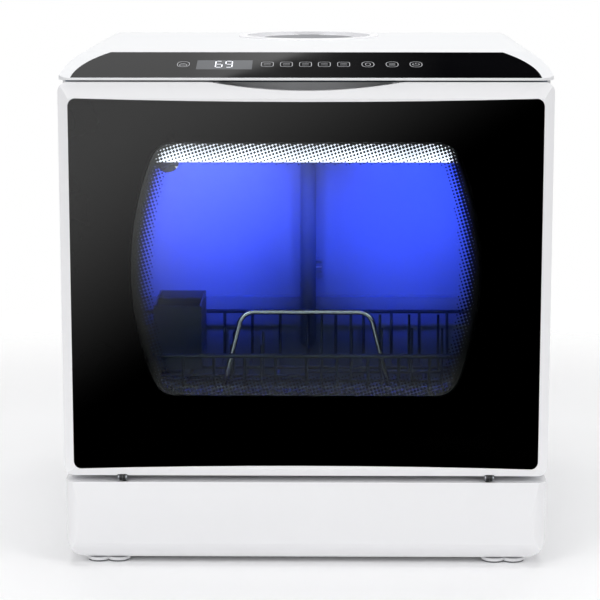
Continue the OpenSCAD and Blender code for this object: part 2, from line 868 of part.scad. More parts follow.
module door_frame() color("white") difference() {
  door_block();
  along_y(front_y - 1, print_back) glass_outline(seam/2);
  intersection() {
    along_y(flange_back, skirt_back + 1) door_outline(wall);
    along_x(-side_x, side_x)
      polygon([[front_y, door_z], [front_y, door_top - wall],
               [skirt_back + 1, door_top - door_fall - wall], [skirt_back + 1, door_z]]);
  }
  barrel_plate(front_y - 1, skirt_back, reveal_t + seam);
  intersection() {
    along_y(front_y - 1, pocket_y0) scoop_outline();
    box(-scoop_w, scoop_w, front_y - 1, pocket_y0, glass_z1, door_top + 1);
  }
  box(-pocket_w/2 - seam, pocket_w/2 + seam, pocket_y0 - seam, pocket_y1 + seam,
      door_top - wall - door_fall - 1, door_top + 1);
  for (s = [-1, 1]) hinge_notch(s);
}

module door_glass() color([0.2, 0.3, 0.4, 0.4])
  along_y(front_y, glass_back) glass_outline(0);

module glass_print() color("black") difference() {
  along_y(glass_back, print_back) glass_outline(0);
  barrel_plate(front_y, print_back + 1);
}

module window_trim() color("silver") difference() {
  barrel_plate(glass_back, print_back, -run_gap);
  barrel_plate(front_y, print_back + 1, -trim_w);
}

module window_reveal() color("darkslateblue") difference() {
  barrel_plate(print_back, reveal_back, reveal_t);
  barrel_plate(front_y, door_back);
}

// The lamp bar behind the top of the window
module window_light() color("white") intersection() {
  barrel_plate(print_back + 4, print_back + 9, -seam);
  box(-side_x, side_x, front_y, door_back, window_z + window_h/2 - light_h, body_h);
}

module inner_glass() color([0.6, 0.7, 0.9, 0.3])
  barrel_plate(boss_back - pane_t, boss_back - seam, pane_lap);

// The steel liner with its raised middle and the openings for window and cup
module door_liner() color("silver") difference() {
  union() {
    along_y(skirt_back, door_back) door_outline(wall/2);
    along_y(skirt_back, mouth_y) boss_outline(0);
  }
  along_y(skirt_back - 1, mouth_y - liner_t) boss_outline(liner_t);
  box(-side_x, side_x, front_y, mouth_y, door_top - door_fall - 1, body_h);
  barrel_plate(front_y, mouth_y + 1, -1);
  along_y(front_y, mouth_y + 1) cup_outline(-cup_lip);
}

module boss_outline(d)
  round_rect(-tub_x + boss_in + d, tub_x - boss_in - d, tub_z + boss_gap + d,
             tub_top - boss_gap - d, tub_r - 6 - d, tub_r - 6 - d);

module cup_outline(d)
  round_rect(cup_x - cup_w/2 - d, cup_x + cup_w/2 + d, cup_z - cup_h/2 - d,
             cup_z + cup_h/2 + d, 8 + d, 8 + d);

// The tray in the liner that takes the detergent tablet
module detergent_cup() color("lightgray") difference() {
  along_y(cup_front_y, boss_back - seam) cup_outline(0);
  along_y(cup_front_y + wall, door_back + 5) cup_outline(-wall);
}

// The cup behind the scoop that the fingers pull on
module handle_cup() color("gray") difference() {
  intersection() {
    box(-pocket_w/2, pocket_w/2, pocket_y0, pocket_y1, pocket_z, door_top);
    along_x(-side_x, side_x)
      polygon([[front_y, 0], [front_y, door_top + 1], [front_y + bevel, door_top],
               [skirt_back, door_top - door_fall], [skirt_back, 0]]);
  }
  along_z(pocket_z + wall, door_top + 1)
    round_rect(-pocket_w/2 + wall, pocket_w/2 - wall, pocket_y0 + wall,
               pocket_y1 - wall, 5, 5);
  along_y(front_y - 1, pocket_y0 + wall + 1) scoop_outline();
}

module door_striker() color("dimgray") {
  box(-12, 12, door_back, door_back + 2, striker_z - 4, striker_z + striker_t + 4);
  difference() {
    box(-8, 8, door_back + 2, latch_y + 16, striker_z, striker_z + striker_t);
    box(-4.5, 4.5, latch_y + 6, latch_y + 12, striker_z - 1, striker_z + striker_t + 1);
  }
}

// ---- Door hinges ----

// The bracket that stands in the base tray; s is its side
module hinge_bracket(s) {
  along_x(s*hinge_x - hinge_plate_t/2, s*hinge_x + hinge_plate_t/2) difference() {
    union() {
      translate([axis_y, axis_z]) circle(lug_r);
      polygon([[axis_y + 1.2, axis_z - lug_r + 0.5], [axis_y + lug_r - 0.1, axis_z],
               [axis_y + stem_w + 2, axis_z - 5], [axis_y + stem_w + 2, bracket_z],
               [axis_y + 3.5, bracket_z], [axis_y + 3.5, axis_z - 7]]);
    }
    translate([axis_y, axis_z]) circle(hinge_pin_r + 0.02);
  }
  box(s*hinge_x - 9, s*hinge_x + 9, axis_y + 3.5, bracket_back,
      bracket_z - hinge_plate_t, bracket_z);
  box(s*hinge_x - hinge_plate_t/2, s*hinge_x + hinge_plate_t/2, axis_y + 3.5,
      bracket_back, bracket_z - 0.5, bracket_z + 18);
  for (dx = [-5.5, 5.5])
    translate([s*hinge_x + dx, bracket_foot_y, floor_top])
      cylinder(h = bracket_z - hinge_plate_t - floor_top, r = bracket_foot_r);
}

module hinge_bracket_left() color("dimgray") hinge_bracket(-1);

module hinge_bracket_right() color("dimgray") hinge_bracket(1);

// The plates that carry the door, one outboard of each bracket
module door_hinge_plates() color("dimgray") for (s = [-1, 1])
  along_x(s*ear_x - hinge_plate_t/2, s*ear_x + hinge_plate_t/2) difference() {
    union() {
      translate([axis_y, axis_z]) circle(lug_r);
      polygon([[axis_y - 1, axis_z + 2.5], [flange_back + seam, door_z + wall + seam],
               [flange_back + seam, axis_z + 44], [flange_back + 16, axis_z + 44],
               [flange_back + 16, door_z + wall + seam + 1],
               [axis_y + lug_r + 1.4, door_z + wall + seam],
               [axis_y + lug_r - 0.4, axis_z + 1.2], [axis_y, axis_z]]);
    }
    translate([axis_y, axis_z]) circle(hinge_pin_r + 0.05);
  }

module hinge_pins() color("silver") for (s = [-1, 1]) {
  inner = s*hinge_x - s*(hinge_plate_t/2);
  outer = s*ear_x + s*(hinge_plate_t/2);
  translate([min(inner, outer) - seam - 1, axis_y, axis_z]) rotate([0, 90, 0])
    cylinder(h = abs(outer - inner) + 2*seam + 2, r = hinge_pin_r);
  for (x = [min(inner, outer) - seam - 1, max(inner, outer) + seam])
    translate([x, axis_y, axis_z]) rotate([0, 90, 0]) cylinder(h = 1, r = hinge_pin_r + 0.8);
}

// ---- Wash chamber ----

// The chamber's XZ outline, grown by d
module tub_outline(d)
  round_rect(-tub_x - d, tub_x + d, tub_z - d, tub_top + d, tub_r + d, tub_r + d);

// The chamber's YZ outline with the step across its back, grown by d
module tub_side(d)
  polygon([[mouth_y - 1, tub_z - d - 1], [tub_back - tub_step + d, tub_z - d - 1],
           [tub_back - tub_step + d, tub_z + tub_step_h - d],
           [tub_back + d, tub_z + tub_step_h - d], [tub_back + d, tub_top + d + 1],
           [mouth_y - 1, tub_top + d + 1]]);

module tub_form(d, y0) intersection() {
  along_y(y0, tub_back + d) tub_outline(d);
  along_x(-side_x, side_x) tub_side(d);
}

module tub() color("steelblue") difference() {
  union() {
    tub_form(tub_t, mouth_y);
    along_y(mouth_y, mouth_y + tub_t)
      round_rect(-skin_x + seam, skin_x - seam, base_h + seam, console_z - 2*seam, 4, 4);
  }
  tub_form(0, mouth_y - 1);
  translate([sump_x, sump_y, tub_z - tub_t - 1]) cylinder(h = 5, r = sump_r);
  translate([0, hub_y, tub_z - tub_t - 1]) cylinder(h = 5, r = post_r + run_gap);
  translate([0, tub_back - tub_step - 1, feed_z]) rotate([-90, 0, 0])
    cylinder(h = tub_step + 4, r = feed_r + run_gap);
  translate([breather_x, tub_back - 1, breather_z]) rotate([-90, 0, 0])
    cylinder(h = 5, r = 4);
  translate([fan_x + fan_w/2 - 22, tub_back - 1, fan_z]) rotate([-90, 0, 0])
    cylinder(h = 5, r = 12);
  box(-10, 10, mouth_y - 1, mouth_y + tub_t + 1, striker_z - 2, striker_z + striker_t + 4.5);
}

module door_seal() color("dimgray")
  along_y(door_back + seam, mouth_y) difference() {
    tub_outline(6);
    tub_outline(1.5);
  }

// The louvred cap over the tank's breather hole
module tank_breather() color("steelblue") difference() {
  box(breather_x - 6, breather_x + 6, tub_back - 4, tub_back, breather_z - 9,
      breather_z + 9);
  box(breather_x - 4.8, breather_x + 4.8, tub_back - 2.8, tub_back + 1, breather_z - 7.8,
      breather_z + 7.8);
  for (i = [-1 : 1])
    box(breather_x - 4, breather_x + 4, tub_back - 5, tub_back - 2, breather_z + 5*i - 1,
        breather_z + 5*i + 1);
}

// Two lamp lenses under the chamber's ceiling
module chamber_lights() color("deepskyblue") for (s = [-1, 1])
  translate([s*lamp_x, mouth_y + lamp_inset, tub_top - lamp_t])
    linear_extrude(lamp_t) round_rect(-lamp_l/2, lamp_l/2, -5, 5, 3, 3);

module filter_plate() color("silver") difference() {
  translate([sump_x, sump_y, tub_z]) cylinder(h = 1, r = sump_r + 8);
  translate([sump_x, sump_y, tub_z - 1]) cylinder(h = 3, r = basket_r + seam);
  for (a = [0 : 20 : 340])
    translate([sump_x, sump_y, tub_z - 1]) rotate(a) translate([(basket_r + sump_r)/2 + 1, 0])
      cylinder(h = 3, r = 2.2, $fn = 12);
}

module filter_basket() color("gainsboro") translate([sump_x, sump_y, 0]) {
  difference() {
    translate([0, 0, basket_z]) cylinder(h = tub_z + 3 - basket_z, r = basket_r);
    translate([0, 0, basket_z + 2]) cylinder(h = tub_z, r = basket_r - 1.6);
    for (z = [basket_z + 6 : 5 : tub_z - 6], a = [0 : 30 : 150])
      translate([0, 0, z]) rotate(a) box(-basket_r - 1, basket_r + 1, -2.5, 2.5, 0, 1.6);
  }
  box(-basket_r + 1, basket_r - 1, -1.2, 1.2, tub_z - 6, tub_z + 3);
}

module sump() color("darkgray") translate([sump_x, sump_y, 0]) difference() {
  union() {
    translate([0, 0, sump_z]) cylinder(h = tub_z - tub_t - sump_z, r = sump_r + 2);
    translate([0, 0, sump_z + 9]) rotate([0, -90, 0]) cylinder(h = sump_r + 12, r = hose_r);
    translate([0, 0, sump_z + 9]) rotate([-90, 0, 0]) cylinder(h = sump_r + 12, r = hose_r);
  }
  translate([0, 0, sump_z + 2]) cylinder(h = tub_z, r = sump_r - 0.5);
  translate([0, 0, sump_z + 9]) rotate([0, -90, 0]) cylinder(h = sump_r + 13, r = hose_r - 2);
  translate([0, 0, sump_z + 9]) rotate([-90, 0, 0]) cylinder(h = sump_r + 13, r = hose_r - 2);
}

// ---- Spray arms ----

// The blade outline of a spray arm: two arcs meet towards the tips
module blade(length) {
  pointed = length + arm_blunt;
  arc = (pointed*pointed/4 + arm_w*arm_w/4)/arm_w;
  intersection() {
    translate([0, arm_w/2 - arc]) circle(arc, $fn = big_fn);
    translate([0, arc - arm_w/2]) circle(arc, $fn = big_fn);
    square([length, 2*arm_w], center = true);
  }
}

// A spray arm lying flat with its nozzles on side up (1) or down (-1)
module spray_arm(length, up) difference() {
  union() {
    translate([0, 0, -arm_t/2]) linear_extrude(arm_t) blade(length);
    translate([0, 0, -arm_t/2 - 2]) cylinder(h = arm_t + 4, r = arm_w/2 - 1);
    for (s = [-1, 1], i = [1 : nozzle_count])
      translate([s*(arm_w/2 + i*(length/2 - arm_w)/nozzle_count), 0, 0])
        translate([0, 0, up > 0 ? arm_t/2 - 0.5 : -arm_t/2 - 1.5])
          cylinder(h = 2, r = 2.6, $fn = 24);
  }
  translate([0, 0, -arm_t]) cylinder(h = 2*arm_t, r = spigot_r + run_gap);
  for (s = [-1, 1], i = [1 : nozzle_count])
    translate([s*(arm_w/2 + i*(length/2 - arm_w)/nozzle_count), 0,
               up > 0 ? arm_t/2 - 3 : -arm_t/2 - 2])
      cylinder(h = 5, r = 1, $fn = 24);
}

module lower_spray_arm() color("lightgray")
  translate([0, hub_y, lower_arm_z]) rotate(arm_turn) spray_arm(lower_arm_l, 1);

module upper_spray_arm() color("lightgray")
  translate([0, hub_y, upper_arm_z]) rotate(-arm_turn) spray_arm(upper_arm_l, -1);

// The pipe that stands in the chamber floor and carries the lower arm
module lower_arm_post() color("darkgray") translate([0, hub_y, 0]) difference() {
  union() {
    translate([0, 0, heater_z]) cylinder(h = lower_arm_z - arm_t/2 - 2 - seam - heater_z,
                                         r = post_r);
    cylinder_span(lower_arm_z - arm_t, lower_arm_z + arm_t/2 + 2 + seam, spigot_r);
    cylinder_span(lower_arm_z + arm_t/2 + 2 + seam, lower_arm_z + arm_t/2 + 5, spigot_r + 3);
    translate([0, 0, heater_z]) sphere(post_r);
    translate([-heater_reach, 0, heater_z]) rotate([0, 90, 0])
      cylinder(h = heater_reach, r = hose_r);
  }
  cylinder_span(heater_z, lower_arm_z + arm_t/2 + 1, spigot_r - 2.5);
  translate([-heater_reach - 1, 0, heater_z]) rotate([0, 90, 0])
    cylinder(h = heater_reach, r = hose_r - 2);
}

module cylinder_span(z0, z1, r) translate([0, 0, z0]) cylinder(h = z1 - z0, r = r);

// The pipe up the back wall and along the ceiling to the upper arm
module upper_feed_pipe() color("darkgray") {
  difference() {
    union() {
      translate([0, tub_rear + 2, feed_z]) rotate([90, 0, 0])
        cylinder(h = tub_rear + 2 - riser_y, r = feed_r);
      translate([0, riser_y, feed_z]) sphere(feed_r);
      translate([0, riser_y, feed_z]) cylinder(h = ceiling_z - feed_z, r = feed_r);
      translate([0, riser_y, ceiling_z]) sphere(feed_r);
      translate([0, riser_y, ceiling_z]) rotate([90, 0, 0])
        cylinder(h = riser_y - hub_y, r = feed_r);
      translate([0, hub_y, 0]) {
        cylinder_span(upper_arm_z + arm_t/2 + 2 + seam, tub_top, spigot_r + 2);
        cylinder_span(upper_arm_z - arm_t/2 - 2 - seam, upper_arm_z + arm_t, spigot_r);
        cylinder_span(upper_arm_z - arm_t/2 - 5, upper_arm_z - arm_t/2 - 2 - seam,
                      spigot_r + 3);
      }
    }
    translate([0, hub_y, 0]) cylinder_span(upper_arm_z - arm_t/2 - 2, ceiling_z, 5);
    translate([0, riser_y - 2, ceiling_z]) rotate([90, 0, 0])
      cylinder(h = riser_y - hub_y - 2, r = feed_r - 2);
    translate([0, tub_rear + 3, feed_z]) rotate([90, 0, 0])
      cylinder(h = tub_rear + 3 - riser_y, r = feed_r - 2);
    translate([0, riser_y, feed_z - 1]) cylinder(h = ceiling_z - feed_z, r = feed_r - 2);
  }
}

// ---- Dish rack ----

// A floor wire with two uprights that lean out to the rim, drawn along X
module rack_hoop(w, rise) {
  floor_half = w/2 - rack_lean;
  wire([-floor_half, 0, 0], [floor_half, 0, 0], wire_r);
  for (s = [-1, 1]) {
    wire([s*floor_half, 0, 0], [s*w/2, 0, rise], wire_r);
    translate([s*floor_half, 0, 0]) sphere(wire_r + weld, $fn = 16);
  }
}

module tine(x, y, h, lean)
  wire([x, y, floor_wire_z + cross_step], [x, y + lean, floor_wire_z + h], tine_r);

module dish_rack() color("darkslategray") {
  mid_y = (rack_front + rack_back)/2;
  rise = rim_z - floor_wire_z;
  translate([0, mid_y, rim_z]) wire_loop(rack_w, rack_d, 16, rim_r);
  for (i = [-wire_side : wire_side])
    translate([i*wire_pitch, mid_y, floor_wire_z]) rotate(90) rack_hoop(rack_d, rise);
  for (y = cross_y)
    translate([0, y, floor_wire_z + cross_step]) rack_hoop(rack_w, rise - cross_step);
  for (y = tine_y) {
    wire([0, y, floor_wire_z + cross_step],
         [wire_side*wire_pitch, y, floor_wire_z + cross_step], wire_r);
    for (i = [0 : wire_side - 1]) tine((i + 0.5)*wire_pitch, y, tine_h, 6);
  }
  for (y = bowl_y) {
    wire([-wire_side*wire_pitch, y, floor_wire_z + cross_step],
         [0, y, floor_wire_z + cross_step], wire_r);
    for (i = [2, 3]) tine((0.5 - i)*wire_pitch, y, tine_h - 14, 10);
  }
  runners();
}

// The flat runners at the rack's sides that lie on the rollers
module runners() for (s = [-1, 1]) {
  x0 = s > 0 ? rack_x - rack_lean : -runner_x;
  x1 = s > 0 ? runner_x : -rack_x + rack_lean;
  box(x0, x1, roller_front_y - 8, rack_back - 10, runner_z, runner_z + runner_t);
  box(s > 0 ? x1 - 1.6 : x0, s > 0 ? x1 : x0 + 1.6, roller_front_y - 8, rack_back - 10,
      runner_z, runner_z + 7);
}

module rack_handle() color("silver")
  translate([0, rack_front + rim_r + handle_r + 0.1, handle_base_z]) rotate([90, 0, 0])
    flat_wire([[-handle_foot_w/2, 0],
               [-handle_w/2 - 10, rim_z + handle_h - handle_base_z],
               [handle_w/2 + 10, rim_z + handle_h - handle_base_z],
               [handle_foot_w/2, 0]], 14, handle_r);

module cutlery_basket() color("slateblue") {
  x1 = -rack_x + 22 + basket_w;
  difference() {
    box(x1 - basket_w, x1, basket_y, basket_y + basket_d, basket_floor_z,
        basket_floor_z + basket_h);
    for (i = [0, 1])
      box(x1 - basket_w + 1.8, x1 - 1.8, basket_y + 1.8 + i*(basket_d - 1.8)/2,
          basket_y + (i + 1)*(basket_d - 1.8)/2, basket_floor_z + 1.8,
          basket_floor_z + basket_h + 1);
    for (y = [basket_y + 12 : 14 : basket_y + basket_d - 12],
         z = [basket_floor_z + 10 : 12 : basket_floor_z + basket_h - 12])
      box(x1 - basket_w - 1, x1 + 1, y - 2.5, y + 2.5, z, z + 7);
  }
}

// ---- Rollers ----

module at_roller(s, y) translate([s*roller_x, y, roller_z]) rotate([0, s*90, 0]) children();

// The studs on the chamber's walls, each with a boss and a round cap
module roller_studs() color("darkgray")
  for (s = [-1, 1], y = [roller_front_y, roller_rear_y]) at_roller(s, y) {
    translate([0, 0, -1.5 - seam]) cylinder(h = 1.5, r = stud_r + 1.5);
    translate([0, 0, -seam]) cylinder(h = tub_x - roller_x + seam, r = stud_r);
    translate([0, 0, roller_w + seam])
      cylinder(h = tub_x - roller_x - roller_w - seam, r = stud_r + 3);
  }

module roller(s, y) color("gainsboro") at_roller(s, y) difference() {
  rotate_extrude($fn = 64) difference() {
    translate([stud_r + run_gap, 0]) square([roller_r - stud_r - run_gap, roller_w]);
    for (v = [0, 1]) corner_waste(roller_r, v*roller_w, 0.8, 1, v ? 1 : -1);
  }
  for (a = [0 : 60 : 300]) rotate(a) translate([(stud_r + roller_r)/2, 0, -1])
    cylinder(h = roller_w + 2, r = 0.9, $fn = 24);
}

module roller_front_left() roller(-1, roller_front_y);

module roller_front_right() roller(1, roller_front_y);

module roller_rear_left() roller(-1, roller_rear_y);

module roller_rear_right() roller(1, roller_rear_y);

// ---- Base machinery ----

module wash_pump() color("dimgray") translate([pump_x, pump_y, pump_z]) {
  difference() {
    union() {
      rotate([0, 90, 0]) cylinder(h = pump_l, r = pump_r);
      translate([-22, 0, 0]) rotate([0, 90, 0]) cylinder(h = 22, r = volute_r);
      for (x = [12, pump_l - 16]) box(x - 4, x + 4, -20, 20, floor_top - pump_z, -16);
      // outlet at the top of the volute
      box(-18, -4, -6, volute_r, 24, volute_r);
    }
    for (a = [0 : 20 : 340])
      rotate([a, 0, 0]) box(16, pump_l - 10, -1, 1, pump_r - 2, pump_r + 3);
  }
  // inlet towards the sump
  translate([-34, 0, 0]) rotate([0, 90, 0]) cylinder(h = 12, r = hose_r);
}

module heater() color("darkgoldenrod") translate([0, hub_y, heater_z]) {
  difference() {
    translate([-heater_reach - heater_l, 0, 0]) rotate([0, 90, 0])
      cylinder(h = heater_l - seam, r = heater_r);
    translate([-heater_reach - heater_l + 3, 0, 0]) rotate([0, 90, 0])
      cylinder(h = heater_l, r = hose_r - 2);
  }
  for (x = [-heater_reach - heater_l + 16, -heater_reach - 16])
    box(x - 3, x + 3, -12, 12, floor_top - heater_z, -12);
}

module drain_pump() color("gray") translate([drain_pump_x, drain_pump_y, 0]) {
  cylinder_span(floor_top, floor_top + 28, 24);
  cylinder_span(floor_top + 28, floor_top + 56, 19);
  translate([0, 0, floor_top + 14]) rotate([-90, 0, 0])
    cylinder(h = niche_floor_y - wall - seam - drain_pump_y, r = 7);
}

module main_board_box() color("beige") difference() {
  box(board_box_x, board_box_x + board_box_w, board_box_y, board_box_y + board_box_d,
      floor_top, floor_top + board_box_h);
  for (x = [board_box_x + 12 : 8 : board_box_x + board_box_w - 10])
    box(x, x + 3, board_box_y + 12, board_box_y + board_box_d - 12,
        floor_top + board_box_h - 3, floor_top + board_box_h + 1);
}

// ---- Ports at the back ----

module inlet_valve() color("lightgray") translate([inlet_x, 0, port_z])
  rotate([-90, 0, 0]) difference() {
    union() {
      cylinder_span(niche_floor_y, rear_y - 3, inlet_r);
      cylinder_span(niche_floor_y, niche_floor_y + 4, inlet_r + 4);
      cylinder_span(niche_floor_y - wall - 30, niche_floor_y, port_neck_r);
      cylinder_span(niche_floor_y - wall - 26, niche_floor_y - wall - seam, 16);
    }
    cylinder_span(niche_floor_y + 2, rear_y, inlet_r - 3);
    cylinder_span(niche_floor_y - wall - 31, niche_floor_y + 3, port_neck_r - 3);
  }

module drain_spout() color("lightgray") translate([drain_x, 0, port_z])
  rotate([-90, 0, 0]) difference() {
    union() {
      cylinder_span(niche_floor_y, rear_y - 3, drain_r);
      cylinder_span(niche_floor_y, niche_floor_y + 3, drain_r + 4);
      cylinder_span(niche_floor_y - wall - 8, niche_floor_y, port_neck_r);
    }
    cylinder_span(niche_floor_y - wall - 9, rear_y, port_neck_r - 3);
  }

module power_inlet() color("black") translate([gland_x, 0, port_z])
  rotate([-90, 0, 0]) difference() {
    union() {
      cylinder_span(niche_floor_y, niche_floor_y + 12, gland_r + 2);
      cylinder_span(niche_floor_y, niche_floor_y + 4, gland_r + 6);
      cylinder_span(niche_floor_y - wall - 12, niche_floor_y, gland_r);
    }
    cylinder_span(niche_floor_y - wall - 13, niche_floor_y + 13, gland_r - 2.5);
  }

// ---- Drying fan ----

module fan_housing() color("dimgray") difference() {
  union() {
    along_y(fan_y, fan_y + fan_t) translate([fan_x, fan_z]) difference() {
      round_rect(-fan_w/2, fan_w/2, -fan_w/2, fan_w/2, 5, 5);
      circle(fan_w/2 - 2);
    }
    along_y(fan_y + fan_t - 2, fan_y + fan_t) translate([fan_x, fan_z]) {
      circle(12);
      for (a = [0, 90]) rotate(a) square([fan_w - 2, 4], center = true);
    }
    translate([fan_x, fan_y + fan_t, fan_z]) rotate([90, 0, 0])
      cylinder(h = fan_t - 5 - seam, r = 2);
    along_y(fan_y + fan_t, rear_y - wall - grille_t - seam) translate([fan_x, fan_z])
      ring(fan_w/2, fan_w/2 - 2);
  }
}

module fan_rotor() color("black") translate([fan_x, fan_y + 2, fan_z]) rotate([-90, 0, 0])
  difference() {
    union() {
      cylinder(h = fan_t - 6, r = 11);
      for (i = [0 : fan_blades - 1]) rotate(i*360/fan_blades) translate([10, 0, (fan_t - 6)/2])
        rotate([35, 0, 0]) box(0, fan_w/2 - 13.5, -0.8, 0.8, -9, 9);
    }
    translate([0, 0, 3]) cylinder(h = fan_t, r = 2 + run_gap);
  }

module vent_grille() color("whitesmoke") translate([fan_x, 0, fan_z]) {
  along_y(rear_y - wall - grille_t, rear_y - wall) difference() {
    circle(grille_r + 4);
    for (z = [-24 : 6 : 24]) translate([0, z])
      square([2*sqrt(pow(grille_r - 3, 2) - z*z), 3], center = true);
  }
}

// ---- Latch ----

module latch_body() color("gray") difference() {
  box(-20, 20, latch_y, latch_y + 34, tub_top + tub_t + seam, striker_z + 12);
  box(-12, 12, latch_y - 1, latch_y + 30, tub_top + tub_t + seam + 2, striker_z + 9);
  translate([-21, lever_y, lever_z]) rotate([0, 90, 0]) cylinder(h = 42, r = 1.6);
}

module latch_lever() color("orange") {
  along_x(-4, 4) {
    polygon([[lever_y - 3, lever_z - 1.8], [lever_y, lever_z + 2.6],
             [latch_y + 7, striker_z - seam - 1.6], [latch_y + 7, striker_z - seam - 4.4],
             [lever_y - 3, lever_z - 2.4]]);
    translate([latch_y + 8.6, striker_z - seam - 2.2]) circle(2.2);
    translate([lever_y, lever_z]) circle(2.6);
  }
  translate([-20, lever_y, lever_z]) rotate([0, 90, 0]) cylinder(h = 40, r = 1.6 - run_gap);
}

base_tray();
feet();
left_side_panel();
right_side_panel();
rear_panel();
top_cover();
control_panel();
display_window();
control_board();
filler_ring();
filler_funnel();
filler_lid();
filler_hinge_pin();
door_frame();
door_glass();
glass_print();
window_trim();
window_reveal();
window_light();
inner_glass();
door_liner();
handle_cup();
door_striker();
door_hinge_plates();
detergent_cup();
hinge_bracket_left();
hinge_bracket_right();
hinge_pins();
door_seal();
tub();
tank_breather();
chamber_lights();
filter_plate();
filter_basket();
sump();
lower_arm_post();
lower_spray_arm();
upper_feed_pipe();
upper_spray_arm();
dish_rack();
rack_handle();
cutlery_basket();
roller_studs();
roller_front_left();
roller_front_right();
roller_rear_left();
roller_rear_right();
water_tank();
wash_pump();
heater();
drain_pump();
main_board_box();
inlet_valve();
drain_spout();
power_inlet();
fan_housing();
fan_rotor();
vent_grille();
latch_body();
latch_lever();
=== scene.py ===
"""A countertop dishwasher with a drop-down window door, dressed over its CAD frame.

Each operator finishes one group of pieces. Lengths in this file are in millimetres until a
mesh is made, and the frame and every finished object are in metres.
"""
import math

import bpy
import numpy as np
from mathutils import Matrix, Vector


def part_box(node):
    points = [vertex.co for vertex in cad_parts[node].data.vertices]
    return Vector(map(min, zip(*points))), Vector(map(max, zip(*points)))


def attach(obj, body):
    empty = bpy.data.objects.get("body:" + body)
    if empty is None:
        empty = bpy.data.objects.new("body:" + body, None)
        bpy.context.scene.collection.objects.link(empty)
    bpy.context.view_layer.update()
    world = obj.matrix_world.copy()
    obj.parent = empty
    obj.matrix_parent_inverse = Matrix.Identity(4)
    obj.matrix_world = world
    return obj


bl_info = {
    "name": "Countertop dishwasher",
    "version": (1, 0, 0),
    "blender": (4, 5, 0),
    "location": "3D View > Sidebar > Dishwasher",
    "description": "Dresses the CAD frame of a countertop dishwasher in its finishes and detail",
    "category": "Object",
}

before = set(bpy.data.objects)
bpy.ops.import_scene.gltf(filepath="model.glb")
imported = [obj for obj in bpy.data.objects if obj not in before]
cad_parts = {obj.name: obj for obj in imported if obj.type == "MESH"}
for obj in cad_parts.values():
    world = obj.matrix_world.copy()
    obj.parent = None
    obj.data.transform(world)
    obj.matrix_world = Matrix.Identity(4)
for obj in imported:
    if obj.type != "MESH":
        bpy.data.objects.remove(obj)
MM = 0.001

# The console glass: its thickness in mm, and its slope, 17.7 mm up over 88 mm back
CONSOLE_GLASS = 1.6
CONSOLE_SLOPE = math.atan2(17.7, 88)
# The thickness of a screen-printed line in mm
PRINT_T = 0.08

# The window's halftone print: its lattice's turn in degrees, then in mm the radii of the
# side arcs of its outline and of the clear window, and how far inside the silver ring's box
# the outline lies
DOT_TURN = 17
OUTLINE_R = 268
CLEAR_R = 296
RING_W = 1.2
# A dot's radius as a share of the pitch: the least, and what it gains towards the outline at
# the window's sides, and over and under the clear window
DOT_LEAST = 0.19
DOT_GAIN_SIDE = 0.65
DOT_GAIN_BAND = 0.34


def edge(node, axis, high):
    """One face of a CAD node's box, in millimetres: axis 0 to 2, high for its far side."""
    return float(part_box(node)[high][axis]) / MM


def linear(colour):
    """An sRGB hex colour as linear red, green and blue, as the sRGB curve gives them."""
    parts = [int(colour[i:i + 2], 16) / 255 for i in (0, 2, 4)]
    return [c / 12.92 if c <= 0.04045 else ((c + 0.055) / 1.055) ** 2.4 for c in parts]


# ---- What a user would change ----


def shade(name, words, colour):
    """A colour setting whose default is an sRGB hex colour."""
    return bpy.props.FloatVectorProperty(
        name=name, description=words, subtype="COLOR", size=3, min=0, max=1,
        default=linear(colour))


def length(name, words, mm):
    """A length setting whose default is given in millimetres."""
    return bpy.props.FloatProperty(
        name=name, description=words, subtype="DISTANCE", unit="LENGTH", min=0,
        default=mm * MM)


class DishwasherColours(bpy.types.PropertyGroup):
    """The colours of the dishwasher's finishes."""

    casing: shade("Casing", "Powder-coated steel of the sides, back and top", "EAEBED")
    mouldings: shade("Mouldings", "Gloss ABS of the door frame and the filler", "F1F1F3")
    base: shade("Base", "Gloss ABS of the base with its front apron", "EFEFF1")
    print_black: shade("Black print", "Enamel printed on the back of the glass", "0B0B0C")
    tub: shade("Chamber", "Moulded polypropylene of the wash chamber", "7C8696")
    wires: shade("Rack wires", "Nylon coating of the dish rack's wires", "3A4654")
    marks: shade("Marks", "White print on the console glass", "B4B5B9")
    lamp: shade("Chamber lamps", "Blue lens of the chamber's lamps", "2A3BFF")
    glow: shade("Chamber light", "Blue light that the lamps cast in the chamber", "4257FF")
    # The window bar's glow is painted light: the bar is no lamp and stands in for the white liner
    # lit from the chamber.
    bar: shade("Window glow, painted light", "Painted light: cool white glow of the bar over the window", "EEF1FF")


class DishwasherSizes(bpy.types.PropertyGroup):
    """The sizes of the fine detail that the scene adds."""

    dot_pitch: length("Dot pitch", "Spacing of the halftone dots round the window", 3.04)
    clear_w: length("Clear width", "Width of the clear window at its middle", 268)
    clear_h: length("Clear height", "Height of the clear window", 186)
    digit_h: length("Digit height", "Height of the display's digits up the slope", 20)
    mark_w: length("Mark width", "Width of a mark on the console", 10.6)
    stroke: length("Line width", "Width of a printed line on the console", 0.6)
    screw_r: length("Screw radius", "Radius of the casing's screw heads", 3.6)


def colours():
    return bpy.context.scene.dishwasher_colours


def sizes():
    """The size settings as a dict in millimetres."""
    group = bpy.context.scene.dishwasher_sizes
    return {k: getattr(group, k) / MM for k in DishwasherSizes.__annotations__}


# ---- Materials ----


def add(tree, kind, inputs=(), **settings):
    """Adds a shader node: settings are its properties, inputs its sockets by name or number,
    each a value or the output socket that it takes."""
    node = tree.nodes.new("ShaderNode" + kind)
    for name, value in settings.items():
        setattr(node, name, value)
    for key, value in dict(inputs).items():
        if isinstance(value, bpy.types.NodeSocket):
            tree.links.new(value, node.inputs[key])
        else:
            node.inputs[key].default_value = value
    return node


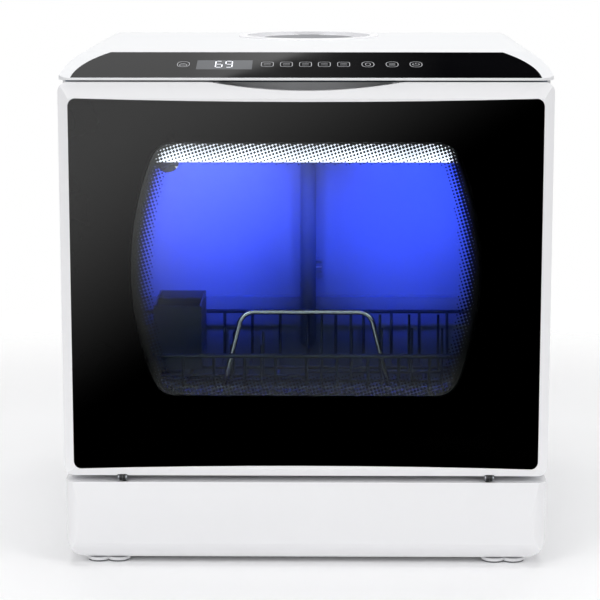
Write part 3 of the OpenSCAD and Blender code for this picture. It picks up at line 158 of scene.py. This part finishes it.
def material(name, colour, rough, **sockets):
    """A material of one Principled shader, with its constants set on its own sockets.
    Returns the material, its tree, the shader and the Object coordinates."""
    made = bpy.data.materials.new(name)
    made.use_nodes = True
    tree = made.node_tree
    tree.nodes.clear()
    values = {"Base Color": (*colour, 1), "Roughness": rough}
    values |= {k.replace("_", " "): v for k, v in sockets.items()}
    shader = add(tree, "BsdfPrincipled", values)
    add(tree, "OutputMaterial", {0: shader.outputs[0]})
    where = add(tree, "TexCoord").outputs["Object"]
    return made, tree, shader, where


def vary(tree, shader, where, colour, mm, share, rough, spread):
    """Slow unevenness about mm wide: the colour falls by share, the roughness moves by spread."""
    cloud = add(tree, "TexNoise", {"Vector": where, "Scale": 1000 / mm, "Detail": 3})
    low = [c * (1 - share) for c in colour]
    mix = add(tree, "Mix", {0: cloud.outputs[0], 6: (*low, 1), 7: (*colour, 1)},
              data_type="RGBA")
    tree.links.new(mix.outputs[2], shader.inputs["Base Color"])
    span = add(tree, "MapRange", {0: cloud.outputs[0], 1: 0.3, 2: 0.7, 3: rough - spread,
                                  4: rough + spread})
    tree.links.new(span.outputs[0], shader.inputs["Roughness"])


def grain(tree, shader, where, mm, depth, stretch=(1, 1, 1), detail=2):
    """Fine relief of a real spacing of mm, depth in millimetres, drawn out by stretch."""
    drawn = add(tree, "Mapping", {"Vector": where, "Scale": stretch})
    noise = add(tree, "TexNoise", {"Vector": drawn.outputs[0], "Scale": 1000 / mm,
                                   "Detail": detail})
    bump = add(tree, "Bump", {"Height": noise.outputs[0], "Strength": 0.5,
                              "Distance": depth * MM})
    tree.links.new(bump.outputs[0], shader.inputs["Normal"])


def powder_coated_steel(name, colour):
    """Powder coat on sheet steel, baked: it levels out to a soft orange peel about 2 mm wide."""
    made, tree, shader, where = material(name, colour, 0.36)
    vary(tree, shader, where, colour, 160, 0.02, 0.36, 0.03)
    grain(tree, shader, where, 2, 0.05)
    return made


def gloss_abs(name, colour):
    """ABS moulded in a polished tool: glossy, with faint sink waves about 30 mm apart."""
    made, tree, shader, where = material(name, colour, 0.24, IOR=1.54)
    vary(tree, shader, where, colour, 90, 0.015, 0.24, 0.03)
    grain(tree, shader, where, 30, 0.12, detail=1)
    return made


def satin_plastic(name, colour, rough=0.45, spark=0.8, soft=0.0, level=0.5):
    """Polypropylene, nylon or PBT from a spark-eroded tool: a fine satin grain about 0.8 mm
    wide, and a little light let through where the wall is natural."""
    made, tree, shader, where = material(name, colour, rough, IOR=1.5,
                                         Specular_IOR_Level=level, Subsurface_Weight=soft,
                                         Subsurface_Scale=0.004)
    vary(tree, shader, where, colour, 45, 0.06, rough, 0.05)
    grain(tree, shader, where, spark, 0.04)
    return made


def rubber(name, colour):
    """Moulded silicone or EPDM rubber: dull, slightly dusty, with no highlight edge."""
    made, tree, shader, where = material(name, colour, 0.72, IOR=1.45, Sheen_Weight=0.15,
                                         Sheen_Roughness=0.5)
    vary(tree, shader, where, colour, 12, 0.2, 0.72, 0.08)
    grain(tree, shader, where, 0.9, 0.05)
    return made


def metal(name, colour, rough, along, mm=0.7, depth=0.012):
    """Rolled, drawn or turned metal: fine lines about 0.7 mm apart that run along one way."""
    made, tree, shader, where = material(name, colour, rough, Metallic=1.0)
    vary(tree, shader, where, colour, 25, 0.12, rough, 0.06)
    grain(tree, shader, where, mm, depth, along, 4)
    return made


def zinc_plate(name):
    """Zinc-plated pressed steel: bright, with crystals a few millimetres wide in two greys."""
    colour = linear("B9BDC2")
    made, tree, shader, where = material(name, colour, 0.38, Metallic=1.0)
    cells = add(tree, "TexVoronoi", {"Vector": where, "Scale": 1000 / 4})
    ramp = add(tree, "MapRange", {0: cells.outputs["Color"], 3: 0.3, 4: 0.48})
    tree.links.new(ramp.outputs[0], shader.inputs["Roughness"])
    dark = linear("9CA1A8")
    mix = add(tree, "Mix", {0: cells.outputs["Color"], 6: (*dark, 1), 7: (*colour, 1)},
              data_type="RGBA")
    tree.links.new(mix.outputs[2], shader.inputs["Base Color"])
    return made


def float_glass(name, level, tint="F4FAF8"):
    """Toughened soda-lime glass: clear, smooth, with a film of wiping marks in its gloss."""
    made, tree, shader, where = material(name, linear(tint), 0.0, IOR=1.52,
                                         Transmission_Weight=1.0, Specular_IOR_Level=level)
    wipe = add(tree, "Mapping", {"Vector": where, "Rotation": (0, 0.5, 0),
                                 "Scale": (1, 1, 5)})
    film = add(tree, "TexNoise", {"Vector": wipe.outputs[0], "Scale": 9, "Detail": 3})
    span = add(tree, "MapRange", {0: film.outputs[0], 1: 0.45, 2: 0.8, 3: 0.0, 4: 0.035})
    tree.links.new(span.outputs[0], shader.inputs["Roughness"])
    return made


def glass_enamel(name, colour, level=0.5):
    """Ceramic enamel fired on the back of glass: dense and even, with a faint screen texture
    (drawn 3 mm wide, coarser than the real mesh)."""
    made, tree, shader, where = material(name, colour, 0.3, Specular_IOR_Level=level)
    vary(tree, shader, where, colour, 60, 0.1, 0.3, 0.05)
    grain(tree, shader, where, 3, 0.006)
    return made


def back_printed_glass(name, colour):
    """Glass printed black on its back, seen as one body: the black is deep and even, the
    face as smooth as float glass, with faint wiping marks about 60 mm long."""
    made, tree, shader, where = material(name, colour, 0.03, IOR=1.52)
    vary(tree, shader, where, colour, 60, 0.3, 0.03, 0.012)
    return made


def lit(name, colour, strength, mm):
    """A moulded diffuser that glows: a lamp's, or the window's bar, whose glow is painted
    light. The light is even but for soft spots over its diodes, mm apart."""
    made, tree, shader, where = material(name, colour, 0.4, IOR=1.49,
                                         Emission_Strength=strength)
    spots = add(tree, "TexWave", {"Vector": where, "Scale": 50 / mm, "Distortion": 0.0},
                bands_direction="X")
    dim = [c * 0.8 for c in colour]
    mix = add(tree, "Mix", {0: spots.outputs[1], 6: (*dim, 1), 7: (*colour, 1)},
              data_type="RGBA")
    tree.links.new(mix.outputs[2], shader.inputs["Emission Color"])
    return made


def circuit_board(name):
    """FR4 board under green solder mask: tracks show as paler bands about 1.5 mm apart."""
    green, pale = linear("12552F"), linear("1F7A45")
    made, tree, shader, where = material(name, green, 0.35, IOR=1.5)
    tracks = add(tree, "TexBrick", {"Vector": where, "Color1": (*green, 1),
                                    "Color2": (*green, 1), "Mortar": (*pale, 1),
                                    "Scale": 1000 / 6, "Mortar Size": 0.08})
    tree.links.new(tracks.outputs[0], shader.inputs["Base Color"])
    grain(tree, shader, where, 3, 0.05)
    return made


def dress(made, *nodes):
    """Gives CAD nodes a material in all their slots."""
    for name in nodes:
        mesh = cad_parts[name].data
        for i in range(len(mesh.materials)):
            mesh.materials[i] = made
        if not mesh.materials:
            mesh.materials.append(made)


# ---- Surfaces ----


def piece(name, parts, made, body, smooth=False):
    """One object from (points in mm, faces) parts, riding on a CAD body."""
    points, faces, start = [], [], 0
    for p, f in parts:
        p = np.asarray(p, float).reshape(-1, 3)
        points.append(p)
        faces += [[int(i) + start for i in face] for face in f]
        start += len(p)
    mesh = bpy.data.meshes.new(name)
    mesh.from_pydata((np.vstack(points) * MM).tolist(), [], faces)
    mesh.materials.append(made)
    mesh.polygons.foreach_set("use_smooth", np.full(len(mesh.polygons), smooth))
    mesh.validate()
    obj = bpy.data.objects.new(name, mesh)
    bpy.context.scene.collection.objects.link(obj)
    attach(obj, body)
    return obj


def grid_faces(rows, cols, wrap_rows, wrap_cols):
    """Quads of a grid of rows by cols points, each way open or closed on itself."""
    i, j = np.meshgrid(np.arange(rows - (not wrap_rows)), np.arange(cols - (not wrap_cols)),
                       indexing="ij")
    i, j = i.ravel(), j.ravel()
    up, on = (i + 1) % rows, (j + 1) % cols
    return np.stack([i * cols + j, up * cols + j, up * cols + on, i * cols + on], 1).tolist()


def line(path, width, height, closed):
    """A printed line: the rectangle width by height carried along a flat path.
    P(i, j) = path(i) + across(j) * normal(i), up(j)."""
    path = np.asarray(path, float)
    if closed:
        way = np.roll(path, -1, 0) - np.roll(path, 1, 0)
    else:
        way = np.gradient(path, axis=0)
    way /= np.linalg.norm(way, axis=1, keepdims=True)
    side = np.stack([way[:, 1], -way[:, 0]], 1)
    across = np.array([-0.5, -0.5, 0.5, 0.5]) * width
    up = np.array([0, 1, 1, 0]) * height
    flat = path[:, None, :] + across[None, :, None] * side[:, None, :]
    points = np.concatenate([flat, np.broadcast_to(up[None, :, None], (*flat.shape[:2], 1))],
                            2)
    faces = grid_faces(len(path), 4, closed, True)
    if not closed:
        last = 4 * (len(path) - 1)
        faces += [[0, 1, 2, 3], [last + 3, last + 2, last + 1, last]]
    return points.reshape(-1, 3), faces


def oval(x, y, w, h, power=2.6, n=40):
    """A superellipse round (x, y): |X/w|^p + |Y/h|^p = 1, at n angles."""
    a = np.arange(n) * 2 * np.pi / n
    c, s = np.cos(a), np.sin(a)
    return np.stack([x + w / 2 * np.sign(c) * np.abs(c) ** (2 / power),
                     y + h / 2 * np.sign(s) * np.abs(s) ** (2 / power)], 1)


def arc(x, y, r, start, end, n=20):
    """Points at radius r round (x, y) from start to end degrees."""
    a = np.radians(np.linspace(start, end, n))
    return np.stack([x + r * np.cos(a), y + r * np.sin(a)], 1)


def on_slope(points, lift):
    """Console points (across, up the slope, height) in the frame: turned about X by the
    slope's angle and set on the lower edge of the glass's upper face."""
    c, s = math.cos(CONSOLE_SLOPE), math.sin(CONSOLE_SLOPE)
    y0 = edge("control_panel", 1, 0)
    z0 = edge("control_panel", 2, 0) + CONSOLE_GLASS * c
    x, up, h = np.asarray(points, float).T
    h = h + lift
    return np.stack([x, y0 + up * c - h * s, z0 + up * s + h * c], 1)


def halftone_dots(pitch, clear_w, clear_h, back, front):
    """Short prisms on a turned square lattice, between the clear window and the window's
    barrel outline. A dot's radius is pitch * (least + gain t), where t is 0 at the clear
    window and 1 at the outline: t = b / (a + b) with a the distance in from the outline and
    b the distance out from the clear window. Each window's side is an arc. The gain is less
    over and under the clear window, so that the glowing bar shows between the dots; the
    bar's glow is painted light, standing in for the liner lit from the chamber."""
    lo, hi = (np.array(v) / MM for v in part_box("window_trim"))
    w, h, mid = hi[0] - lo[0], hi[2] - lo[2], (lo[2] + hi[2]) / 2
    steps = np.arange(-90, 91) * pitch
    u, v = np.meshgrid(steps, steps)
    turn = math.radians(DOT_TURN)
    x = (u * math.cos(turn) - v * math.sin(turn)).ravel()
    z = (u * math.sin(turn) + v * math.cos(turn)).ravel()

    def inside(half_w, half_h, r):
        side = r - np.hypot(np.abs(x) + r - half_w, z)
        return np.minimum(side, half_h - np.abs(z))

    a = inside(w / 2 - RING_W, h / 2 - RING_W, OUTLINE_R)
    b = -inside(clear_w / 2, clear_h / 2, CLEAR_R)
    keep = (a > -0.7 * pitch) & (b > 0.2)
    x, z, a, b = x[keep], z[keep] + mid, a[keep], b[keep]
    gain = np.interp(np.abs(x), [clear_w / 2 - 22, clear_w / 2],
                     [DOT_GAIN_BAND, DOT_GAIN_SIDE])
    r = pitch * (DOT_LEAST + gain * np.minimum(b / (a + b), 1))
    k = 8
    turn = np.arange(k) * 2 * np.pi / k + np.pi / 8
    ring = np.stack([x[:, None] + r[:, None] * np.cos(turn),
                     z[:, None] + r[:, None] * np.sin(turn)], 2)
    ends = np.array([front, back])
    points = np.empty((len(x), 2, k, 3))
    points[..., 0] = ring[:, None, :, 0]
    points[..., 2] = ring[:, None, :, 1]
    points[..., 1] = ends[None, :, None]
    base = np.arange(len(x))[:, None] * 2 * k
    i = np.arange(k)
    j = (i + 1) % k
    walls = (base[:, :, None] + np.stack([i, i + k, j + k, j], 1)[None]).reshape(-1, 4)
    caps = np.vstack([base + i[None], base + i[::-1][None] + k])
    return points.reshape(-1, 3), walls.tolist() + caps.tolist()


def screw_head(at, out, across, r):
    """A countersunk screw head on a polar grid: height = 0.25 - 0.2 (q/r)^2, less 1.1 inside
    a cross of arms 0.22 r wide and 0.62 r long, q the radius. The rim closes on one point
    below."""
    q = np.concatenate([np.linspace(0.02, 0.62, 9), [0.66, 0.8, 0.94, 1.0]]) * r
    a = np.arange(32) * 2 * np.pi / 32
    u, v = q[:, None] * np.cos(a), q[:, None] * np.sin(a)
    arm = (np.minimum(np.abs(u), np.abs(v)) < 0.12 * r) & (q[:, None] < 0.63 * r)
    h = 0.25 - 0.2 * (q[:, None] / r) ** 2 - 1.1 * arm
    out, across = np.array(out, float), np.array(across, float)
    up = np.cross(out, across)
    points = (np.array(at) + u[..., None] * across + v[..., None] * up
              + h[..., None] * out).reshape(-1, 3)
    rows = len(q)
    faces = grid_faces(rows, 32, False, True)
    faces.append(list(range(32))[::-1])
    tip = np.array(at) - 1.5 * out
    points = np.vstack([points, tip])
    last = 32 * (rows - 1)
    faces += [[last + k, len(points) - 1, last + (k + 1) % 32] for k in range(32)]
    return points, faces


# ---- Operators, one for each group of pieces ----


class DressCasing(bpy.types.Operator):
    """Finishes the casing: sides, back, top, base with its apron, feet and grille."""

    bl_idname = "dishwasher.casing"
    bl_label = "Casing"

    def execute(self, context):
        c = colours()
        dress(powder_coated_steel("Powder-coated steel, white", c.casing),
              "left_side_panel", "right_side_panel", "rear_panel", "top_cover")
        dress(gloss_abs("Gloss ABS, base white", c.base), "base_tray")
        dress(satin_plastic("Moulded ABS grille, white", linear("DCDDDF")), "vent_grille")
        dress(rubber("Moulded rubber, grey", linear("6E7073")), "feet")
        return {"FINISHED"}


class DressDoor(bpy.types.Operator):
    """Finishes the door: frame, glass, black print, window ring, liner, cup and hinge parts."""

    bl_idname = "dishwasher.door"
    bl_label = "Door"

    def execute(self, context):
        c = colours()
        dress(gloss_abs("Gloss ABS, door white", c.mouldings), "door_frame", "handle_cup")
        dress(float_glass("Toughened glass, door front", 0.3), "door_glass")
        dress(float_glass("Toughened glass, inner pane", 0.4), "inner_glass")
        dress(glass_enamel("Black enamel print", c.print_black, 0.2), "glass_print")
        dress(metal("Satin aluminium ring", linear("C9CCD2"), 0.48, (1, 1, 6)),
              "window_trim")
        # Painted shade: the reveal is near black, standing in for the white liner ring lying in
        # shadow round the window.
        dress(satin_plastic("Moulded ABS reveal, painted shade", linear("16181F"), 0.35),
              "window_reveal")
        dress(metal("Brushed stainless steel, liner", linear("B4B8BE"), 0.34, (0.05, 1, 4)),
              "door_liner")
        dress(satin_plastic("Polypropylene, grey", linear("8E949C")), "detergent_cup")
        dress(zinc_plate("Zinc-plated steel, door"), "door_striker", "hinge_pins")
        dress(satin_plastic("Black e-coated steel, hinges", linear("1B1C1E"), 0.45),
              "door_hinge_plates")
        # Painted light: the window bar glows though it is no lamp, standing in for the white
        # liner lit from the chamber over the window.
        dress(lit("Glowing bar, painted light", c.bar, 1.5, 14), "window_light")
        return {"FINISHED"}


class PrintWindow(bpy.types.Operator):
    """Prints the halftone dots that fade the black round the window into clear glass."""

    bl_idname = "dishwasher.halftone"
    bl_label = "Halftone print"

    def execute(self, context):
        s = sizes()
        front = edge("glass_print", 1, 0)
        dots = halftone_dots(s["dot_pitch"], s["clear_w"], s["clear_h"], front + 0.22,
                             front + 0.05)
        made = glass_enamel("Black enamel dots", colours().print_black, 0.2)
        piece("halftone_dots", [dots], made, "door")
        return {"FINISHED"}


class DressConsole(bpy.types.Operator):
    """Finishes the console glass and its display, and prints its marks and lit digits."""

    bl_idname = "dishwasher.console"
    bl_label = "Console"

    # In mm, how far up the slope the middle of the row stands, and where along it each round
    # key, programme key and digit is, from the dishwasher's middle
    MIDDLE = 44.0
    KEYS = (-108.3, 54.3, 75.6, 96.6)
    PROGRAMMES = (-34.3, -17.5, -0.7, 15.9, 32.9)
    DIGITS = {"6": -79.8, "9": -70.9}
    DIGIT_W, DIGIT_LINE = 5.6, 0.9
    SEGMENTS = {"6": "acdefg", "9": "abcdfg"}

    def segments(self, digit, h):
        """The strokes of a seven-segment digit h high, as paths across and up the slope."""
        ends = {"a": ((0, 1), (1, 1)), "b": ((1, 1), (1, .5)), "c": ((1, .5), (1, 0)),
                "d": ((0, 0), (1, 0)), "e": ((0, 0), (0, .5)), "f": ((0, .5), (0, 1)),
                "g": ((0, .5), (1, .5))}
        x, y, w = self.DIGITS[digit], self.MIDDLE - h / 2, self.DIGIT_W
        gap = 0.9
        for key in self.SEGMENTS[digit]:
            p, q = (np.array([x + w * u, y + h * v]) for u, v in ends[key])
            way = (q - p) / np.linalg.norm(q - p)
            yield np.array([p + way * gap, q - way * gap])

    def mark_paths(self, w):
        """The printed marks w wide, as (path, closed) across and up the slope: the round
        keys' rims, the programme keys' rims with two strokes in each, and the signs for
        lock, wave, drying and power."""
        y = self.MIDDLE
        for x in self.KEYS:
            yield oval(x, y, w, 17), True
        for x in self.PROGRAMMES:
            yield oval(x, y, w, 15, 5), True
            for k in (-2.2, 2.2):
                yield [[x - 3, y + k], [x + 3, y + k]], False
        lock, wave, drying, power = self.KEYS
        yield arc(lock, y - 1, 2.8, 0, 180), False
        yield oval(lock, y - 2.6, 6, 6, 5), True
        yield oval(wave, y, 4.4, 8), True
        for k in (-3, 0, 3):
            yield [[drying - 2.8, y + k], [drying + 2.8, y + k]], False
        yield arc(power, y, 3, -240, 60), False
        yield [[power, y + 1], [power, y + 5]], False

    def execute(self, context):
        c, s = colours(), sizes()
        dress(back_printed_glass("Back-printed glass, console", linear("08080A")),
              "control_panel")
        dress(back_printed_glass("Grey display window", linear("66686C")), "display_window")
        dress(circuit_board("Circuit board"), "control_board")
        marks = [line(path, s["stroke"], PRINT_T, closed)
                 for path, closed in self.mark_paths(s["mark_w"])]
        made = satin_plastic("White screen print", c.marks, 0.5)
        piece("console_marks", [(on_slope(p, 0.0), f) for p, f in marks], made, "casing")
        strokes = [line(path, self.DIGIT_LINE, PRINT_T, False)
                   for digit in self.DIGITS for path in self.segments(digit, s["digit_h"])]
        glow = lit("Lit digit, white", linear("F4F6FF"), 0.8, 3)
        piece("display_digits", [(on_slope(p, 0.02), f) for p, f in strokes], glow, "casing")
        return {"FINISHED"}


class DressFiller(bpy.types.Operator):
    """Finishes the water filler: ring, bowl, lid and pin."""

    bl_idname = "dishwasher.filler"
    bl_label = "Filler"

    def execute(self, context):
        dress(gloss_abs("Gloss ABS, filler white", colours().mouldings), "filler_ring")
        dress(satin_plastic("Moulded ABS, filler bowl", linear("DADCDF"), 0.4),
              "filler_funnel")
        dress(satin_plastic("Moulded ABS, lid grey", linear("8A8B8F"), 0.5, level=0.25),
              "filler_lid")
        dress(metal("Turned stainless steel pin", linear("B7BABF"), 0.3, (5, 1, 1)),
              "filler_hinge_pin")
        return {"FINISHED"}


class DressChamber(bpy.types.Operator):
    """Finishes the wash chamber: walls, seal, lamps, filters and spray arms, and lights it."""

    bl_idname = "dishwasher.chamber"
    bl_label = "Wash chamber"

    def execute(self, context):
        c = colours()
        dress(satin_plastic("Polypropylene, chamber", c.tub, 0.33, 1.2), "tub",
              "tank_breather")
        dress(rubber("Silicone seal, grey", linear("5F646B")), "door_seal")
        dress(lit("Blue lamp lens", c.lamp, 14.0, 8), "chamber_lights")
        dress(metal("Perforated stainless steel", linear("AEB3BA"), 0.3, (1, 6, 1)),
              "filter_plate", "filter_basket")
        dress(satin_plastic("Polypropylene, water parts", linear("6F7883")), "sump",
              "lower_arm_post", "upper_feed_pipe")
        dress(satin_plastic("Polypropylene, spray arms", linear("9AA3AE"), 0.38),
              "lower_spray_arm", "upper_spray_arm")
        low, high = (np.array(v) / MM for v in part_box("chamber_lights"))
        for x in (low[0] + 35, high[0] - 35):
            self.beam((x, high[1], low[2] - 8), c.glow)
        return {"FINISHED"}

    def beam(self, at, colour):
        """The beam of a chamber lamp, from a place in mm, which falls on the upper part of
        the back wall and shows only on what it lights."""
        light = bpy.data.lights.new("chamber_beam", "SPOT")
        light.energy, light.color = 21, colour
        light.shadow_soft_size = 0.02
        light.spot_size, light.spot_blend = math.radians(54), 1.0
        obj = bpy.data.objects.new("chamber_beam", light)
        obj.location = [v * MM for v in at]
        obj.rotation_euler = (math.radians(90 - 22), 0, 0)
        obj.visible_camera = obj.visible_glossy = obj.visible_transmission = False
        bpy.context.scene.collection.objects.link(obj)


class DressRack(bpy.types.Operator):
    """Finishes the dish rack with its handle, cutlery basket and rollers."""

    bl_idname = "dishwasher.rack"
    bl_label = "Dish rack"

    def execute(self, context):
        dress(satin_plastic("Nylon-coated wire, slate", colours().wires, 0.42, 0.6),
              "dish_rack")
        dress(metal("Polished stainless wire", linear("B4B6C0"), 0.2, (5, 1, 1)),
              "rack_handle")
        dress(satin_plastic("Polypropylene, basket", linear("59636F")), "cutlery_basket")
        dress(satin_plastic("Acetal, rollers", linear("D9DBDE"), 0.35), "roller_front_left",
              "roller_front_right", "roller_rear_left", "roller_rear_right")
        dress(metal("Stainless roller studs", linear("B9BCC1"), 0.25, (1, 5, 5)),
              "roller_studs")
        return {"FINISHED"}


class DressWorks(bpy.types.Operator):
    """Finishes the works behind the panels: tank, pumps, heater, board box, fan and ports."""

    bl_idname = "dishwasher.works"
    bl_label = "Works"

    def execute(self, context):
        dress(satin_plastic("Natural polypropylene, tank", linear("D5DBDF"), 0.4, 1.5, 0.3),
              "water_tank")
        dress(satin_plastic("Glass-filled nylon, black", linear("1D1E20"), 0.5), "wash_pump",
              "drain_pump", "fan_rotor", "fan_housing", "power_inlet", "latch_body")
        dress(satin_plastic("Flame-proof ABS, board box", linear("C9CBCB")),
              "main_board_box")
        dress(metal("Drawn steel, heater", linear("A6A9AD"), 0.3, (1, 1, 6)), "heater")
        dress(satin_plastic("Nylon, valve and spout", linear("E2E4E4")), "inlet_valve",
              "drain_spout")
        dress(satin_plastic("Black e-coated steel, brackets", linear("1B1C1E"), 0.45),
              "hinge_bracket_left", "hinge_bracket_right")
        dress(satin_plastic("Acetal, latch", linear("E6E6E2"), 0.35), "latch_lever")
        return {"FINISHED"}


class AddScrews(bpy.types.Operator):
    """Adds the countersunk screws that hold the back and the sides."""

    bl_idname = "dishwasher.screws"
    bl_label = "Screws"

    # Places in mm: across and up the back, and along and up each side
    BACK = ((-186, 104), (-186, 424), (0, 104), (186, 104), (186, 424))
    SIDE = ((-120, 98), (20, 98), (150, 98))

    def execute(self, context):
        r = sizes()["screw_r"]
        back = edge("rear_panel", 1, 1)
        side = edge("right_side_panel", 0, 1)
        heads = [screw_head((x, back, z), (0, 1, 0), (-1, 0, 0), r) for x, z in self.BACK]
        heads += [screw_head((s * side, y, z), (s, 0, 0), (0, s, 0), r)
                  for s in (-1, 1) for y, z in self.SIDE]
        made = metal("Zinc-plated screws", linear("C2C5C9"), 0.3, (1, 1, 1), 1.2)
        piece("casing_screws", heads, made, "casing")
        return {"FINISHED"}


class BuildStage(bpy.types.Operator):
    """Sets the plain pale floor, the soft studio light and the camera."""

    bl_idname = "dishwasher.stage"
    bl_label = "Stage"

    # The room's slanting edges as (a, b, c): the edge is where a + b X + c Z is 0, with X and
    # Z over the distance along Y
    SHEEN_EDGE = (1.133, -4.974, 7.213)
    FLAG_EDGE = (1.4156, -1.0, -2.877)
    FLOOR_R = 1.25

    def softbox(self, name, at, aim, watts, size):
        """A square white area light at a place in metres, turned towards aim."""
        light = bpy.data.lights.new(name, "AREA")
        light.energy, light.size = watts, size
        obj = bpy.data.objects.new(name, light)
        obj.location = at
        way = [b - a for a, b in zip(at, aim)]
        flat = math.hypot(way[0], way[1])
        obj.rotation_euler = (math.pi / 2 + math.atan2(way[2], flat), 0,
                              math.atan2(way[1], way[0]) - math.pi / 2)
        bpy.context.scene.collection.objects.link(obj)
        return obj

    def studio(self, scene):
        """A white room. Behind the camera it is dark below a slanting edge, which the black
        door shows as a soft sheen at its upper left, and high behind the dishwasher a dark
        flag with a sharp slanting edge shows in the console glass. Matt surfaces take an
        even light from it, and straight below it is pale, as the floor is."""
        world = bpy.data.worlds.new("studio")
        scene.world = world
        world.use_nodes = True
        tree = world.node_tree
        tree.nodes.clear()
        way = add(tree, "TexCoord").outputs["Generated"]
        part = add(tree, "SeparateXYZ", {0: way}).outputs

        def sums(a, b, c):
            """a + b X + c Z, each over the distance along Y."""
            deep = add(tree, "Math", {0: part[1]}, operation="ABSOLUTE").outputs[0]
            deep = add(tree, "Math", {0: deep, 1: 0.05}, operation="MAXIMUM").outputs[0]
            x = add(tree, "Math", {0: part[0], 1: deep}, operation="DIVIDE").outputs[0]
            z = add(tree, "Math", {0: part[2], 1: deep}, operation="DIVIDE").outputs[0]
            x = add(tree, "Math", {0: x, 1: b, 2: a}, operation="MULTIPLY_ADD").outputs[0]
            return add(tree, "Math", {0: z, 1: c, 2: x}, operation="MULTIPLY_ADD").outputs[0]

        sheen = add(tree, "MapRange", {0: sums(*self.SHEEN_EDGE), 3: 0.0, 4: 1.15},
                    interpolation_type="SMOOTHSTEP").outputs[0]
        left = add(tree, "MapRange", {0: sums(0.0, 1.0, 0.0), 1: -0.07, 2: 0.0, 3: 0.32,
                                      4: 0.56}).outputs[0]
        right = add(tree, "MapRange", {0: sums(0.0, 1.0, 0.0), 1: -0.03, 2: 0.06, 3: 0.075,
                                       4: 0.0}).outputs[0]
        split = add(tree, "MapRange", {0: sums(*self.FLAG_EDGE), 1: -0.002, 2: 0.002})
        flag = add(tree, "Mix", {0: split.outputs[0], 2: right, 3: left}).outputs[0]
        low = add(tree, "MapRange", {0: part[2], 1: 0.30, 2: 0.42, 3: 0.9, 4: 0.0}).outputs[0]
        back = add(tree, "Math", {0: flag, 1: low}, operation="MAXIMUM").outputs[0]
        side = add(tree, "MapRange", {0: part[1], 1: -0.08, 2: 0.08}).outputs[0]
        walls = add(tree, "Mix", {0: side, 2: sheen, 3: back}).outputs[0]
        below = add(tree, "MapRange", {0: part[2], 1: -0.5, 2: -0.35, 3: 0.3,
                                       4: 0.0}).outputs[0]
        room = add(tree, "Math", {0: walls, 1: below}, operation="MAXIMUM").outputs[0]
        ray = add(tree, "LightPath").outputs
        cast = add(tree, "Mix", {0: ray["Is Diffuse Ray"], 2: room, 3: 0.4}).outputs[0]
        shown = add(tree, "Mix", {0: ray["Is Camera Ray"], 2: cast, 3: 1.0}).outputs[0]
        light = add(tree, "Background", {"Color": (1, 1, 1, 1), "Strength": shown})
        add(tree, "OutputWorld", {0: light.outputs[0]})

    def execute(self, context):
        scene = context.scene
        made, tree, shader, where = material("Pale studio floor", linear("FBFBFC"), 0.7)
        vary(tree, shader, where, linear("FBFBFC"), 900, 0.01, 0.7, 0.03)
        away = add(tree, "VectorMath", {0: where}, operation="LENGTH").outputs["Value"]
        fade = add(tree, "MapRange", {0: away, 1: 0.5, 2: 1.2},
                   interpolation_type="SMOOTHSTEP").outputs[0]
        clear = add(tree, "BsdfTransparent").outputs[0]
        faded = add(tree, "MixShader", {0: fade, 1: shader.outputs[0], 2: clear})
        tree.links.new(faded.outputs[0], tree.nodes["Material Output"].inputs[0])
        mesh = bpy.data.meshes.new("floor")
        turn = np.arange(96) * 2 * np.pi / 96
        rim = self.FLOOR_R * np.stack([np.cos(turn), np.sin(turn), 0 * turn], 1)
        mesh.from_pydata(rim.tolist(), [], [list(range(96))])
        mesh.materials.append(made)
        floor = bpy.data.objects.new("floor", mesh)
        scene.collection.objects.link(floor)
        floor.visible_glossy = False

        self.studio(scene)
        self.softbox("key", (-1.5, -2.2, 1.9), (0, 0, 0.2), 23, 1.3)
        self.softbox("fill", (1.8, -1.8, 1.5), (0, 0, 0.2), 19, 1.2)
        self.softbox("top", (0, 0.2, 2.6), (0, 0, 0.3), 34, 1.6)
        low = self.softbox("low", (0, -0.52, 0.03), (0, 0, 0.03), 0.05, 0.04)
        low.data.shape, low.data.size, low.data.size_y = "RECTANGLE", 0.6, 0.03
        low.visible_camera = low.visible_glossy = False

        data = bpy.data.cameras.new("camera")
        data.sensor_width, data.lens = 36, 132.1
        data.clip_start, data.clip_end = 0.05, 50
        cam = bpy.data.objects.new("camera", data)
        cam.location = (0.01586, -2.110, 0.5793)
        cam.rotation_euler = (math.radians(90 - 10.02), 0, math.radians(0.63))
        scene.collection.objects.link(cam)
        scene.camera = cam
        scene.view_settings.view_transform = "Standard"
        return {"FINISHED"}


OPERATORS = (DressCasing, DressDoor, PrintWindow, DressConsole, DressFiller, DressChamber,
             DressRack, DressWorks, AddScrews, BuildStage)


class DishwasherPanel(bpy.types.Panel):
    """Lists the steps and settings in the sidebar."""

    bl_idname = "VIEW3D_PT_dishwasher"
    bl_label = "Dishwasher"
    bl_space_type = "VIEW_3D"
    bl_region_type = "UI"
    bl_category = "Dishwasher"

    def draw(self, context):
        for cls in OPERATORS:
            self.layout.operator(cls.bl_idname)
        for group in (context.scene.dishwasher_colours, context.scene.dishwasher_sizes):
            for name in type(group).__annotations__:
                self.layout.prop(group, name)


CLASSES = (DishwasherColours, DishwasherSizes, *OPERATORS, DishwasherPanel)


def register():
    for cls in CLASSES:
        bpy.utils.register_class(cls)
    bpy.types.Scene.dishwasher_colours = bpy.props.PointerProperty(type=DishwasherColours)
    bpy.types.Scene.dishwasher_sizes = bpy.props.PointerProperty(type=DishwasherSizes)


def unregister():
    del bpy.types.Scene.dishwasher_sizes
    del bpy.types.Scene.dishwasher_colours
    for cls in reversed(CLASSES):
        bpy.utils.unregister_class(cls)


def main():
    register()
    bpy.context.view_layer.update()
    for cls in OPERATORS:
        group, name = cls.bl_idname.split(".")
        getattr(getattr(bpy.ops, group), name)()


if __name__ == "__main__":
    main()
